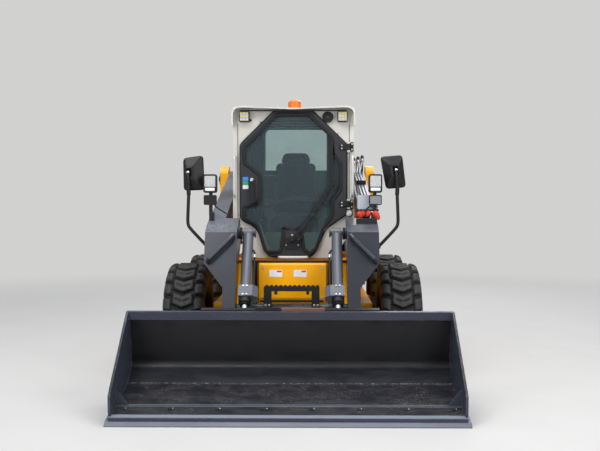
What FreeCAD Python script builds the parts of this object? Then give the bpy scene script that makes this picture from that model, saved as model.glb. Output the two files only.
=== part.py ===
import FreeCAD, Part
import math
import os
import re

import Sketcher

# Skid steer loader, millimetres and degrees. Z is up, the bucket looks along -Y,
# and the origin lies on the floor under the middle of the whole machine.

# name, value, meaning
SIZES = (
    ("wheelbase", 1170, "front axle to rear axle"),
    ("front_reach", 1510, "front axle forward to the cutting edge"),
    ("rear_reach", 880, "rear axle back to the bumper"),
    ("tyre_diameter", 830, "over the lugs"),
    ("tyre_width", 304, "over the shoulder lugs"),
    ("rim_diameter", 420, "bead seat"),
    ("wheel_track", 1516, "middle of tyre to middle of tyre"),
    ("lug_height", 26, "lug above the carcass"),
    ("hub_radius", 88, "hub barrel that the wheel disc is bolted to"),
    ("spindle_radius", 32, "stub that the wheel turns on"),
    ("fit", 0.05, "running clearance on a radius"),
    ("seat_gap", 0.3, "between faces that meet"),
    ("side_gap", 6, "beside parts that move"),
    ("tub_half", 560, "half width over the chain cases"),
    ("tub_bottom", 210, "belly above the floor"),
    ("case_top", 560, "top of the chain cases"),
    ("case_inner", 380, "half width between the chain cases"),
    ("tub_upper_half", 440, "half width of the tub under the cab"),
    ("tub_top", 862, "top of the tub's upper walls"),
    ("tub_ahead", 200, "front axle forward to the tub's front wall"),
    ("tub_back", 1750, "front axle back to the tub's end"),
    ("tub_plate", 12, "belly and front wall"),
    ("shell_back", 1945, "front axle back to the end of the engine shell"),
    ("shell_top", 1270, "top of the engine shell"),
    ("shell_plate", 12, "engine shell"),
    ("shell_bottom", 500, "lower edge of the shell behind the tub"),
    ("engine_long", 620, "engine block along the machine"),
    ("engine_wide", 460, "engine block"),
    ("engine_tall", 520, "engine block"),
    ("engine_bottom", 400, "engine block above the floor"),
    ("engine_back", 1740, "front axle to the back of the block"),
    ("cab_half", 440, "half width over the cab walls"),
    ("cab_foot_half", 300, "half width of the cab at its foot"),
    ("cab_foot", 866, "foot of the cab above the floor"),
    ("cab_waist", 1100, "where the cab walls turn upright"),
    ("cab_top", 1938, "top of the cab walls"),
    ("cab_front", 20, "front axle back to the cab's front wall"),
    ("cab_back", 1020, "front axle back to the cab's rear wall"),
    ("cab_plate", 22, "cab wall"),
    ("roof_top", 1964, "top of the roof's raised corners"),
    ("roof_half", 446, "half width over the roof"),
    ("roof_skirt", 1822, "lower edge of the roof's skirt"),
    ("roof_ahead", 72, "roof in front of the cab's front wall"),
    ("roof_round", 58, "rounding of the visor's corners"),
    ("work_lamp_half", 355, "middle of the work lamps"),
    ("work_lamp_wide", 74, "work lamp"),
    ("work_lamp_top", 1930, "top of the work lamps"),
    ("mirror_inner", 614, "inner edge of the mirrors"),
    ("mirror_wide", 178, "mirror head"),
    ("mirror_low", 1348, "lower edge of the mirrors"),
    ("mirror_tall", 262, "mirror head"),
    ("headlamp_half", 578, "middle of the headlamps"),
    ("headlamp_wide", 94, "headlamp"),
    ("headlamp_low", 1336, "lower edge of the headlamps"),
    ("headlamp_tall", 130, "headlamp"),
    ("indicator_low", 1251, "lower edge of the indicators"),
    ("indicator_tall", 70, "indicator"),
    ("door_thick", 26, "door frame"),
    ("door_gap", 4, "door to the cab's front wall"),
    ("hinge_pin", 6, "hinge pins of door, hood and tailgate"),
    ("hinge_radius", 12, "hinge knuckles"),
    ("hinge_ear", 12, "hinge ears"),
    ("door_hinge_half", 398, "door hinge from the middle"),
    ("door_knuckle", 46, "door knuckle"),
    ("hood_knuckle", 120, "hood knuckle"),
    ("gate_knuckle", 90, "tailgate knuckle"),
    ("glass_thick", 6, "window glass"),
    ("rear_glass_half", 255, "half width of the rear window"),
    ("rear_glass_low", 1340, "lower edge of the rear window"),
    ("rear_glass_top", 1885, "upper edge of the rear window"),
    ("side_glass_low", 1180, "lower front corner of the side windows"),
    ("side_glass_top", 1830, "upper edge of the side windows"),
    ("side_glass_front", 90, "side windows behind the cab's front wall"),
    ("side_glass_back", 110, "side windows ahead of the cab's rear wall"),
    ("seat_base", 1040, "top of the seat's pedestal"),
    ("seat_half", 225, "half width of the seat"),
    ("handle_half", 18, "half width of the door handle"),
    ("handle_x", 300, "door handle from the middle"),
    ("handle_low", 1277, "lower end of the door handle"),
    ("handle_tall", 141, "door handle"),
    ("wiper_arm", 7, "half width of the wiper's arms"),
    ("beacon_radius", 52, "warning beacon"),
    ("beacon_tall", 116, "warning beacon"),
    ("arm_pin_back", 1420, "front axle back to the arm pivot"),
    ("arm_pin_top", 1480, "arm pivot above the floor"),
    ("arm_inner", 475, "half distance between the arm beams"),
    ("arm_outer", 588, "half width over the arms"),
    ("arm_knee_ahead", 360, "front axle forward to the arm's knee"),
    ("arm_knee_top", 1114, "the arm's knee above the floor"),
    ("arm_tail_rise", 72, "the arm's top over its pivot"),
    ("leg_face_ahead", 450, "front axle forward to the top of the legs' faces"),
    ("leg_face_top", 1068, "top of the legs' faces"),
    ("leg_nose", 64, "leg in front of the bucket pivot"),
    ("step_half", 186, "half width of the step"),
    ("step_top", 712, "top of the step's teeth"),
    ("step_deep", 78, "step front to back"),
    ("rail_radius", 15, "hand rails"),
    ("rail_off", 42, "middle of a hand rail off the leg's face"),
    ("leg_inner", 372, "half distance between the legs"),
    ("leg_foot", 458, "half width over the legs' feet"),
    ("leg_taper_top", 863, "where the legs start to narrow"),
    ("leg_taper_foot", 702, "where the legs have narrowed"),
    ("arm_pin_radius", 30, "arm pivot pin"),
    ("arm_boss", 75, "arm pivot boss"),
    ("bucket_pin_ahead", 650, "front axle forward to the bucket pivot"),
    ("bucket_pin_top", 320, "bucket pivot above the floor"),
    ("bucket_pin_radius", 25, "bucket pivot pin"),
    ("tilt_pin_ahead", 270, "front axle forward to the tilt cylinders' pins"),
    ("tilt_pin_top", 1052, "tilt cylinders' pins above the floor"),
    ("tilt_eye_ahead", 742, "front axle forward to the tilt rods' eyes"),
    ("tilt_eye_top", 451, "tilt rods' eyes above the floor"),
    ("tilt_half", 307, "middle of the tilt cylinders"),
    ("tilt_barrel_radius", 37, "tilt barrel"),
    ("tilt_rod_radius", 19, "tilt rod"),
    ("tilt_barrel_long", 582, "pin to the gland's end"),
    ("tilt_rod_long", 480, "eye to the rod's inner end"),
    ("tilt_eye_radius", 34, "rod eye"),
    ("tilt_eye_wide", 50, "rod eye"),
    ("tilt_pin_radius", 17, "tilt pins"),
    ("lift_pin_back", 1360, "front axle back to the lift cylinders' pins"),
    ("lift_pin_top", 648, "lift cylinders' pins above the floor"),
    ("lift_eye_back", 330, "front axle back to the lift rods' eyes"),
    ("lift_eye_top", 960, "lift rods' eyes above the floor"),
    ("lift_half", 530, "middle of the lift cylinders"),
    ("lift_barrel_radius", 40, "lift barrel"),
    ("lift_rod_radius", 24, "lift rod"),
    ("lift_barrel_long", 975, "pin to the gland's end"),
    ("lift_rod_long", 950, "eye to the rod's inner end"),
    ("lift_eye_radius", 42, "rod eye and barrel eye"),
    ("lift_eye_wide", 44, "rod eye"),
    ("lift_pin_radius", 20, "lift pins"),
    ("cross_ahead", 492, "front axle forward to the cross tube"),
    ("cross_top", 545, "cross tube above the floor"),
    ("cross_radius", 42, "cross tube"),
    ("bucket_half", 1018, "half width over the side plates"),
    ("edge_half", 1035, "half width of the cutting edge"),
    ("bucket_lean", 12.7, "degrees that the bucket is tipped forward"),
    ("bucket_floor", 512, "tip back to the fold of the floor"),
    ("bucket_deep", 708, "tip back to the bucket's back"),
    ("bucket_tall", 444, "cutting edge's underside up to the lip"),
    ("bucket_lip", 54, "lip over the bucket's back"),
    ("bucket_plate", 11, "bucket shell"),
    ("side_plate", 14, "bucket side plates"),
    ("edge_plate", 20, "cutting edge and the edge above it"),
    ("edge_deep", 195, "cutting edge front to back"),
    ("coupler_half", 560, "half width of the quick coupler"),
    ("coupler_plate", 14, "coupler plate"),
    ("coupler_tall", 370, "coupler plate along the bucket's back"),
    ("aux_tube_radius", 8, "hydraulic tubes on the arm"),
    ("aux_tube_end", 1270, "front axle back to the tubes' ends"),
    ("aux_tube_front", 1296, "tubes above the floor at their bracket"),
    ("aux_box_low", 1223, "lower edge of the tubes' bracket"),
    ("aux_box_tall", 98, "bracket of the tubes"),
    ("aux_cap_top", 1192, "middle of the capped couplings above the floor"),
    ("aux_cap_radius", 20, "coupling caps"),
    ("tower_half", 668, "half width over the towers"),
    ("tower_wall", 70, "outer tower post"),
    ("tower_top", 1590, "tower tops"),
)

# Lengths that follow from the ones above; y runs back from the cutting edge.
DERIVED = {
    "front_y": "(front_reach - wheelbase - rear_reach) / 2",
    "rear_y": "front_y + wheelbase",
    "axle_z": "tyre_diameter / 2",
    "tip_y": "front_y - front_reach",
    "bumper_y": "rear_y + rear_reach",
    "wheel_x": "wheel_track / 2",
    "arm_pin_y": "front_y + arm_pin_back",
    "bucket_pin_y": "front_y - bucket_pin_ahead",
    "tilt_pin_y": "front_y - tilt_pin_ahead",
    "tilt_eye_y": "front_y - tilt_eye_ahead",
    "lift_pin_y": "front_y + lift_pin_back",
    "lift_eye_y": "front_y + lift_eye_back",
    "cross_y": "front_y - cross_ahead",
    "cab_front_y": "front_y + cab_front",
    "cab_back_y": "front_y + cab_back",
    "door_back_y": "cab_front_y - door_gap",
    "door_front_y": "door_back_y - door_thick",
    "tub_front_y": "front_y - tub_ahead",
    "tub_back_y": "front_y + tub_back",
    "shell_y": "front_y + shell_back",
    "shell_front_y": "cab_back_y + 30",
    "roof_front_y": "cab_front_y - roof_ahead",
    "roof_back_y": "cab_back_y + 8",
    "arm_slope": "(arm_pin_top + arm_tail_rise - arm_knee_top) / (arm_pin_back - 10 + arm_knee_ahead)",
    "aux_slope": "(arm_knee_top + (aux_tube_end + arm_knee_ahead) * arm_slope + 8.6"
                 " - aux_tube_front) / (aux_tube_end + 58)",
    "leg_rake": "(bucket_pin_ahead + leg_nose - leg_face_ahead) / (leg_face_top - bucket_pin_top - 20)",
    "hood_hinge_y": "shell_front_y + 14",
    "hood_hinge_z": "shell_top + 31",
    "gate_hinge_x": "-tub_upper_half - shell_plate",
    "gate_hinge_y": "shell_y + 22",
    "door_hinge_y": "door_front_y + 8",
    "stack_x": "-tub_upper_half - shell_plate - 58",
    "stack_y": "shell_y - 150",
}

STEP_TEETH = 12

# Where the hinge knuckles start: across for the hood, up for the tailgate and the door.
HOOD_KNUCKLES = ("-300", "180")
GATE_KNUCKLES = ("600", "1135")
DOOR_KNUCKLES = ("1235", "1648")

PLANES = {"XY": "XY_Plane", "XZ": "XZ_Plane", "YZ": "YZ_Plane"}

doc = FreeCAD.newDocument("skid_steer_loader")
sheet = doc.addObject("Spreadsheet::Sheet", "Sizes")
for row, (alias, number, meaning) in enumerate(SIZES, 1):
    sheet.set("A%d" % row, alias)
    sheet.set("B%d" % row, str(number))
    sheet.set("C%d" % row, meaning)
    sheet.setAlias("B%d" % row, alias)
doc.recompute()

NAMES = {alias for alias, number, meaning in SIZES}
NODES = []


def expand(text):
    """An expression with each name replaced by its cell on the sheet."""
    def swap(match):
        word = match.group()
        if word in DERIVED:
            return "(" + expand(DERIVED[word]) + ")"
        return "Sizes." + word if word in NAMES else word
    return re.sub(r"[A-Za-z_][A-Za-z_0-9]*", swap, str(text))


def value(text):
    """The number that an expression gives."""
    return float(sheet.evalExpression(expand(text)))


def bind(thing, prop, text):
    """Tie one property to an expression on the sheet."""
    thing.setExpression(prop, expand(text))


def node(name, thing):
    """Keep a finished sub-part under its own name."""
    thing.Label = name
    NODES.append(thing)
    return thing


def body(name):
    """An empty body to build features in."""
    return doc.addObject("PartDesign::Body", name)


def pin_point(sketch, geometry, spot, across, up):
    """Hold a point of the sketch at two expressions from its origin."""
    for kind, text in (("DistanceX", across), ("DistanceY", up)):
        index = sketch.addConstraint(
            Sketcher.Constraint(kind, -1, 1, geometry, spot, value(text)))
        sketch.setExpression("Constraints[%d]" % index, expand(text))


def draw_circle(sketch, across, up, radius):
    """A circle held by its centre and radius."""
    centre = FreeCAD.Vector(value(across), value(up), 0)
    ring = sketch.addGeometry(Part.Circle(centre, FreeCAD.Vector(0, 0, 1), value(radius)), False)
    pin_point(sketch, ring, 3, across, up)
    index = sketch.addConstraint(Sketcher.Constraint("Radius", ring, value(radius)))
    sketch.setExpression("Constraints[%d]" % index, expand(radius))


def corner_arc(before, spot, after, radius):
    """Where a rounding leaves its two sides, and the arc between, or the bare corner."""
    if not radius:
        return spot, spot, None
    one = (before - spot).normalize()
    two = (after - spot).normalize()
    half = one.getAngle(two) / 2
    reach = radius / math.tan(half)
    middle = spot + (one + two).normalize() * (radius / math.sin(half))
    start, end = spot + one * reach, spot + two * reach
    first = math.atan2(start.y - middle.y, start.x - middle.x)
    last = math.atan2(end.y - middle.y, end.x - middle.x)
    turn = one.cross(two).z < 0
    if not turn:
        first, last = last, first
    ring = Part.Circle(middle, FreeCAD.Vector(0, 0, 1), radius)
    return start, end, (Part.ArcOfCircle(ring, first, last), turn)


def draw_loop(sketch, corners):
    """A closed outline of straight sides, its corners rounded where a radius is given."""
    count = len(corners)
    spots = [FreeCAD.Vector(value(c[0]), value(c[1]), 0) for c in corners]
    arcs = []
    for i, corner in enumerate(corners):
        radius = value(corner[2]) if len(corner) > 2 else 0
        arcs.append(corner_arc(spots[i - 1], spots[i], spots[(i + 1) % count], radius))
    sides = []
    for i in range(count):
        line = Part.LineSegment(arcs[i][1], arcs[(i + 1) % count][0])
        sides.append(sketch.addGeometry(line, False))
    for i, corner in enumerate(corners):
        before, after = sides[i - 1], sides[i]
        if arcs[i][2] is None:
            sketch.addConstraint(Sketcher.Constraint("Coincident", before, 2, after, 1))
            pin_point(sketch, after, 1, corner[0], corner[1])
            continue
        shape, turn = arcs[i][2]
        arc = sketch.addGeometry(shape, False)
        near, far = (1, 2) if turn else (2, 1)
        sketch.addConstraint(Sketcher.Constraint("Tangent", before, 2, arc, near))
        sketch.addConstraint(Sketcher.Constraint("Tangent", after, 1, arc, far))
        index = sketch.addConstraint(Sketcher.Constraint("Radius", arc, value(corner[2])))
        sketch.setExpression("Constraints[%d]" % index, expand(corner[2]))
        mark = sketch.addGeometry(Part.Point(spots[i]), True)
        sketch.addConstraint(Sketcher.Constraint("PointOnObject", mark, 1, before))
        sketch.addConstraint(Sketcher.Constraint("PointOnObject", mark, 1, after))
        pin_point(sketch, mark, 1, corner[0], corner[1])


def draw(owner, plane, offset, loops):
    """A sketch on one of a body's own planes, moved along its normal."""
    sketch = owner.newObject("Sketcher::SketchObject", owner.Name + "_sketch")
    base = [p for p in owner.Origin.OriginFeatures if p.Role == PLANES[plane]][0]
    sketch.AttachmentSupport = (base, [""])
    sketch.MapMode = "FlatFace"
    sketch.setExpression("AttachmentOffset.Base.z", expand(offset))
    for loop in loops:
        if loop[0] == "circle":
            draw_circle(sketch, *loop[1:])
        else:
            draw_loop(sketch, loop)
    return sketch


def span(plane, low, high):
    """Sketch offset and length for a block from low to high along the plane's axis."""
    offset = "-(%s)" % high if plane == "XZ" else low
    return offset, "(%s) - (%s)" % (high, low)


def pad(owner, plane, low, high, *loops):
    """Extrude outlines between two places along the plane's axis."""
    offset, length = span(plane, low, high)
    feature = owner.newObject("PartDesign::Pad", owner.Name + "_pad")
    feature.Profile = draw(owner, plane, offset, loops)
    bind(feature, "Length", length)
    return feature


def cut(owner, plane, low, high, *loops):
    """Cut outlines out between two places along the plane's axis."""
    offset, length = span(plane, low, high)
    feature = owner.newObject("PartDesign::Pocket", owner.Name + "_cut")
    feature.Profile = draw(owner, plane, offset, loops)
    feature.Reversed = True
    bind(feature, "Length", length)
    return feature


def turned(owner, *loops):
    """Revolve outlines drawn with x along the axis and y as the radius."""
    feature = owner.newObject("PartDesign::Revolution", owner.Name + "_turned")
    sketch = draw(owner, "XY", 0, loops)
    feature.Profile = sketch
    feature.ReferenceAxis = (sketch, ["H_Axis"])
    feature.Angle = 360
    return feature


def block(low_a, high_a, low_b, high_b, radius=None):
    """The outline of a rectangle."""
    spots = ((low_a, low_b), (high_a, low_b), (high_a, high_b), (low_a, high_b))
    return [spot + ((radius,) if radius else ()) for spot in spots]


def ring(across, up, radius):
    """The outline of a circle."""
    return ("circle", across, up, radius)


def mirrored(thing, name):
    """The same piece on the other side of the machine."""
    other = doc.addObject("Part::Mirroring", name)
    other.Source = thing
    other.Normal = FreeCAD.Vector(1, 0, 0)
    return other


def fused(name, *things):
    """Pieces welded into one."""
    whole = doc.addObject("Part::MultiFuse", name)
    whole.Shapes = list(things)
    return whole


def group(name, *things):
    """Like pieces that don't touch, kept as one sub-part."""
    whole = doc.addObject("Part::Compound", name)
    whole.Links = list(things)
    return whole


def arm_top(back, over="0"):
    """Height over the arm's sloping top, at a distance behind the front axle."""
    return "arm_knee_top + ((%s) + arm_knee_ahead) * arm_slope + %s" % (back, over)


def leg_face(height):
    """Where the leaning face of the legs is at a height."""
    return "front_y - leg_face_ahead - (leg_face_top - (%s)) * leg_rake" % height


def tipped(back, up):
    """A point of the bucket, given as it lies level, tipped forward about its tip."""
    return ("tip_y + (%s) * cos(bucket_lean) - (%s) * sin(bucket_lean)" % (back, up),
            "(%s) * cos(bucket_lean) + (%s) * sin(bucket_lean)" % (up, back))


def placed(thing, x=0, y=0, z=0, tilt=None):
    """Put a piece that is built about its own origin in its place, tilted about X."""
    for axis, text in (("x", x), ("y", y), ("z", z)):
        bind(thing, "Placement.Base." + axis, text)
    if tilt:
        thing.Placement.Rotation = FreeCAD.Rotation(FreeCAD.Vector(1, 0, 0), value(tilt))
    return thing


def make_tub():
    """Belly tub with the two chain cases, its front wall, engine bearers and hub tubes."""
    tub = body("tub")
    section = (("-tub_half", "tub_bottom", "20"), ("tub_half", "tub_bottom", "20"),
               ("tub_half", "case_top"), ("tub_upper_half", "case_top"),
               ("tub_upper_half", "tub_top"), ("case_inner", "tub_top"),
               ("case_inner", "tub_bottom + tub_plate"),
               ("-case_inner", "tub_bottom + tub_plate"), ("-case_inner", "tub_top"),
               ("-tub_upper_half", "tub_top"), ("-tub_upper_half", "case_top"),
               ("-tub_half", "case_top"))
    pad(tub, "XZ", "tub_front_y", "tub_back_y", section)
    pad(tub, "XZ", "tub_front_y", "tub_front_y + tub_plate",
        block("-tub_upper_half + 5", "tub_upper_half - 5", "tub_bottom + 4", "tub_top"))
    for middle in ("shell_y - 620", "shell_y - 320"):
        pad(tub, "XZ", middle + " - 40", middle + " + 40",
            block("-case_inner - 2", "case_inner + 2", "tub_bottom + 2", "engine_bottom"))
    for start in ("cab_front_y + 20", "cab_back_y - 90"):
        pad(tub, "XZ", start, start + " + 60",
            block("-case_inner - 2", "case_inner + 2", "tub_top - 46", "cab_foot - seat_gap"))
    for axle in ("front_y", "rear_y"):
        hub_tube(tub, axle)
    cut(tub, "YZ", "-tub_upper_half - 5", "tub_upper_half + 5",
        block("cab_back_y + 40", "tub_back_y + 5", "engine_bottom + 200", "tub_top + 5"))
    return node("chassis_tub", tub)


def hub_tube(tub, axle):
    """Axle tubes out of both chain cases, each ending in the spindle of its wheel."""
    for side in ("", "-"):
        for reach, radius in (("wheel_x - 62", "hub_radius - 20"), ("wheel_x + 20", "spindle_radius")):
            ends = ("tub_half - 20", reach) if not side else ("-(%s)" % reach, "-tub_half + 20")
            pad(tub, "YZ", ends[0], ends[1], ring(axle, "axle_z", radius))


def make_wheels():
    """Four tyres and four rims about their own spindles."""
    tyre = make_tyre()
    rim = make_rim()
    tyre_twin, rim_twin = mirrored(tyre, "tyre_twin"), mirrored(rim, "rim_twin")
    # corner name, x, y, tyre, rim
    corners = (("front_left", "wheel_x", "front_y", tyre, rim),
               ("front_right", "-wheel_x", "front_y", tyre_twin, rim_twin),
               ("rear_left", "wheel_x", "rear_y", tyre, rim),
               ("rear_right", "-wheel_x", "rear_y", tyre_twin, rim_twin))
    for corner, x, y, cover, metal in corners:
        for kind, thing in (("tyre", cover), ("rim", metal)):
            piece = group("place_%s_%s" % (kind, corner), thing)
            placed(piece, x, y, "axle_z")
            node("%s_%s" % (kind, corner), piece)


def make_tyre():
    """Carcass turned about X, with slanted lugs that meet in a broken V at the middle."""
    carcass = body("carcass")
    crown = "tyre_diameter / 2 - lug_height"
    seat = "rim_diameter / 2 + seat_gap"
    half = "tyre_width / 2"
    turned(carcass, (("-%s + 62" % half, seat), (half + " - 62", seat),
                     (half + " - 26", seat + " + 34"), (half + " - 12", seat + " + 110"),
                     (half + " - 26", crown + " - 16"), (half + " - 70", crown),
                     ("-%s + 70" % half, crown), ("-%s + 26" % half, crown + " - 16"),
                     ("-%s + 12" % half, seat + " + 110"), ("-%s + 26" % half, seat + " + 34")))
    doc.recompute()
    lugs = []
    pitches = 18
    outer = value("tyre_diameter") / 2
    for index in range(2 * pitches):
        lug = tyre_lug(1 if index % 2 else -1, outer)
        phase = math.degrees(math.asin(LUG_TOP[0][1] / outer))
        lug.rotate(FreeCAD.Vector(), FreeCAD.Vector(1, 0, 0), phase + index * 180 / pitches)
        lugs.append(lug)
    whole = doc.addObject("Part::Feature", "tyre_master")
    whole.Shape = carcass.Shape.multiFuse(lugs).removeSplitter()
    return whole


# x from the middle and y along the tread of a lug's foot and top; the second and third are the shoulder
LUG_FOOT = ((-14, -16), (140, 34), (140, 76), (-2, 34))
LUG_TOP = ((-10, -12), (148, 39), (148, 69), (0, 29))
SHOULDER_DROP = 14


def tyre_lug(side, outer):
    """One lug: a bar from the middle to the shoulder, swept back and thinner outwards."""
    root = outer - value("lug_height") - 8
    low, high = [], []
    for index, (foot, top) in enumerate(zip(LUG_FOOT, LUG_TOP)):
        shoulder = index in (1, 2)
        low.append(FreeCAD.Vector(side * foot[0], foot[1], root - (30 if shoulder else 0)))
        crown = math.sqrt(outer ** 2 - top[1] ** 2) - (SHOULDER_DROP if shoulder else 0)
        high.append(FreeCAD.Vector(side * top[0], top[1], crown))
    faces = []
    loops = [low, high] + [[low[i], low[(i + 1) % 4], high[(i + 1) % 4], high[i]] for i in range(4)]
    for loop in loops:
        for triangle in ((loop[0], loop[1], loop[2]), (loop[0], loop[2], loop[3])):
            faces.append(Part.Face(Part.makePolygon(list(triangle) + [triangle[0]])))
    solid = Part.Solid(Part.Shell(faces))
    if solid.Volume < 0:
        solid.reverse()
    return solid


def make_rim():
    """Wheel barrel and dished disc, turned about X, bored to run on its spindle."""
    rim = body("rim_master")
    edge = "rim_diameter / 2"
    half = "tyre_width / 2"
    turned(rim, (("-%s + 58" % half, edge + " - 12"), ("-%s + 58" % half, edge),
                 (half + " - 58", edge), (half + " - 58", edge + " - 12"),
                 ("-16", edge + " - 26"), ("-30", "hub_radius + 12"), ("-30", "hub_radius"),
                 ("14", "hub_radius"), ("14", "spindle_radius + fit"),
                 ("-62 + seat_gap", "spindle_radius + fit"), ("-62 + seat_gap", "hub_radius - 6"),
                 ("-44", "hub_radius - 6"), ("-44", "hub_radius + 12"), ("-28", edge + " - 38")))
    return rim


def make_front_panel():
    """Bulged cover in the middle of the tub's front wall."""
    panel = body("panel")
    pad(panel, "YZ", "-235", "235",
        (("tub_front_y - seat_gap", "566"), ("tub_front_y - seat_gap", "tub_top - 18"),
         ("tub_front_y - 46", "tub_top - 18", "16"), ("tub_front_y - 46", "600", "16"),
         ("tub_front_y - 20", "566")))
    return node("front_panel", panel)


def make_towers():
    """Inner and outer posts on each side with the arm pivot pin and the lift cylinder's ears."""
    tower = body("tower")
    inner_low, inner_high = "tub_upper_half + shell_plate + seat_gap", "arm_inner - side_gap"
    outer_low = "tower_half - tower_wall"
    cap = ("arm_pin_y + 92", "tower_top", "70")
    pad(tower, "YZ", inner_low, inner_high,
        (("arm_pin_y - 150", "case_top + seat_gap"), ("arm_pin_y + 250", "case_top + seat_gap"),
         ("arm_pin_y + 180", "arm_pin_top - 120", "60"), cap, ("arm_pin_y - 92", "tower_top", "70"),
         ("arm_pin_y - 110", "arm_pin_top - 160", "60")))
    pad(tower, "YZ", outer_low, "tower_half",
        (("arm_pin_y - 40", "900", "20"), ("arm_pin_y + 180", "900"),
         ("arm_pin_y + 180", "arm_pin_top - 120", "60"), cap, ("arm_pin_y - 92", "tower_top", "70"),
         ("arm_pin_y - 92", "arm_pin_top - 110", "60")))
    pad(tower, "YZ", inner_high + " - 3", outer_low + " + 3",
        (("arm_pin_y + 115", "900"), ("arm_pin_y + 180", "900"),
         ("arm_pin_y + 180", "arm_pin_top - 120", "30"), ("arm_pin_y + 115", "arm_pin_top - 40")))
    pad(tower, "YZ", inner_high + " - 3", outer_low + " + 3",
        ring("arm_pin_y", "arm_pin_top", "arm_pin_radius"))
    ear = (("lift_pin_y - 60", "case_top + seat_gap"), ("lift_pin_y + 60", "case_top + seat_gap"),
           ("lift_pin_y + 42", "lift_pin_top + 42", "40"), ("lift_pin_y - 42", "lift_pin_top + 42", "40"))
    ear_low = "lift_half + lift_barrel_radius + side_gap"
    pad(tower, "YZ", ear_low, ear_low + " + 18", ear)
    pad(tower, "YZ", inner_high + " - 3", ear_low + " + 2",
        block("lift_pin_y - 60", "lift_pin_y + 60", "case_top + seat_gap", "case_top + 12"))
    pad(tower, "YZ", inner_high + " - 3", ear_low + " + 24",
        ring("lift_pin_y", "lift_pin_top", "lift_pin_radius"))
    twin = mirrored(tower, "tower_twin")
    return node("arm_towers", group("both_towers", tower, twin))


def make_engine_shell():
    """Side walls of the engine bay with cooling slots, joined by a beam over the tailgate."""
    side = body("shell_side")
    low, high = "tub_upper_half", "tub_upper_half + shell_plate"
    pad(side, "YZ", low, high,
        (("shell_front_y", "tub_top + seat_gap"), ("tub_back_y + seat_gap", "tub_top + seat_gap"),
         ("tub_back_y + seat_gap", "shell_bottom"), ("shell_y", "shell_bottom", "30"),
         ("shell_y", "shell_top", "60"), ("shell_front_y", "shell_top + 50")))
    pad(side, "YZ", "tub_upper_half - 30", "tub_upper_half + 2",
        (("shell_front_y", "shell_top - 32"), ("shell_y - 60", "shell_top - 66"),
         ("shell_y - 60", "shell_top - 60"), ("shell_front_y", "shell_top - 26")))
    slots = []
    for step in range(6):
        start = "shell_y - %d" % (560 + 48 * step)
        slots.append(((start, "960", "8"), (start + " + 22", "960", "8"),
                      (start + " + 62", "1120", "8"), (start + " + 40", "1120", "8")))
    cut(side, "YZ", "tub_upper_half - 5", "tub_upper_half + shell_plate + 5", *slots)
    beam = body("shell_beam")
    pad(beam, "XZ", "shell_y - 60", "shell_y - 40",
        block("-tub_upper_half - 4", "tub_upper_half + 4", "shell_top - 90", "shell_top - 64"))
    whole = fused("shell_all", side, mirrored(side, "shell_twin"), beam, hood_hinge(), gate_hinge())
    return node("engine_shell", whole)


def hood_hinge():
    """Beam behind the cab with the ears and pins of the hood's hinges."""
    hinge = body("hood_hinge")
    pad(hinge, "YZ", "-tub_upper_half - 4", "tub_upper_half + 4",
        block("shell_front_y", "shell_front_y + 10", "shell_top - 16", "shell_top + 8"))
    ear = (("shell_front_y", "shell_top - 10"), ("shell_front_y + 9", "shell_top - 10"),
           ("hood_hinge_y + 10", "hood_hinge_z"), ("hood_hinge_y + 10", "hood_hinge_z + 10", "4"),
           ("hood_hinge_y - 12", "hood_hinge_z + 10", "4"))
    for start in HOOD_KNUCKLES:
        end = start + " + hood_knuckle"
        pad(hinge, "YZ", start + " - 1 - hinge_ear", start + " - 1", ear)
        pad(hinge, "YZ", end + " + 1", end + " + 1 + hinge_ear", ear)
        pad(hinge, "YZ", start + " - 3", end + " + 3", ring("hood_hinge_y", "hood_hinge_z", "hinge_pin"))
    return hinge


def gate_hinge():
    """Ears and pins of the tailgate's hinges, on the right wall."""
    hinge = body("gate_hinge")
    ear = (("gate_hinge_x - hinge_radius", "shell_y - 20"), ("-tub_upper_half - 1", "shell_y - 20"),
           ("-tub_upper_half - 1", "gate_hinge_y + hinge_radius", "6"),
           ("gate_hinge_x - hinge_radius", "gate_hinge_y + hinge_radius", "6"))
    for foot in GATE_KNUCKLES:
        head = foot + " + gate_knuckle"
        pad(hinge, "XY", foot + " - 1 - hinge_ear", foot + " - 1", ear)
        pad(hinge, "XY", head + " + 1", head + " + 1 + hinge_ear", ear)
        pad(hinge, "XY", foot + " - 3", head + " + 3", ring("gate_hinge_x", "gate_hinge_y", "hinge_pin"))
    return hinge


def make_engine():
    """The engine, one plain block on its bearers."""
    engine = doc.addObject("Part::Box", "engine")
    bind(engine, "Length", "engine_wide")
    bind(engine, "Width", "engine_long")
    bind(engine, "Height", "engine_tall")
    placed(engine, "-engine_wide / 2", "front_y + engine_back - engine_long", "engine_bottom + seat_gap")
    return node("engine_block", engine)


def make_hood():
    """Lid over the engine bay, hinged behind the cab."""
    hood = body("hood")
    start_y = "hood_hinge_y + 16"
    top = ((start_y, "shell_top + 36"), ("shell_y - 30", "shell_top - 14", "30"),
           ("shell_y - 24", "shell_top - 52"), ("shell_y - 34", "shell_top - 52"),
           ("shell_y - 40", "shell_top - 24", "20"), (start_y, "shell_top + 26"))
    pad(hood, "YZ", "-tub_upper_half + side_gap", "tub_upper_half - side_gap", top)
    for start in HOOD_KNUCKLES:
        end = start + " + hood_knuckle"
        pad(hood, "YZ", start, end,
            block("hood_hinge_y", start_y + " + 6", "hood_hinge_z - 5", "hood_hinge_z + 4"))
        pad(hood, "YZ", start, end, ring("hood_hinge_y", "hood_hinge_z", "hinge_radius"))
        cut(hood, "YZ", start, end, ring("hood_hinge_y", "hood_hinge_z", "hinge_pin + fit"))
    slots = [block("-300", "300", "shell_y - %d" % (250 + 60 * i), "shell_y - %d" % (225 + 60 * i), "8")
             for i in range(5)]
    cut(hood, "XY", "shell_top - 60", "shell_top + 60", *slots)
    return node("engine_hood", hood)


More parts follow.
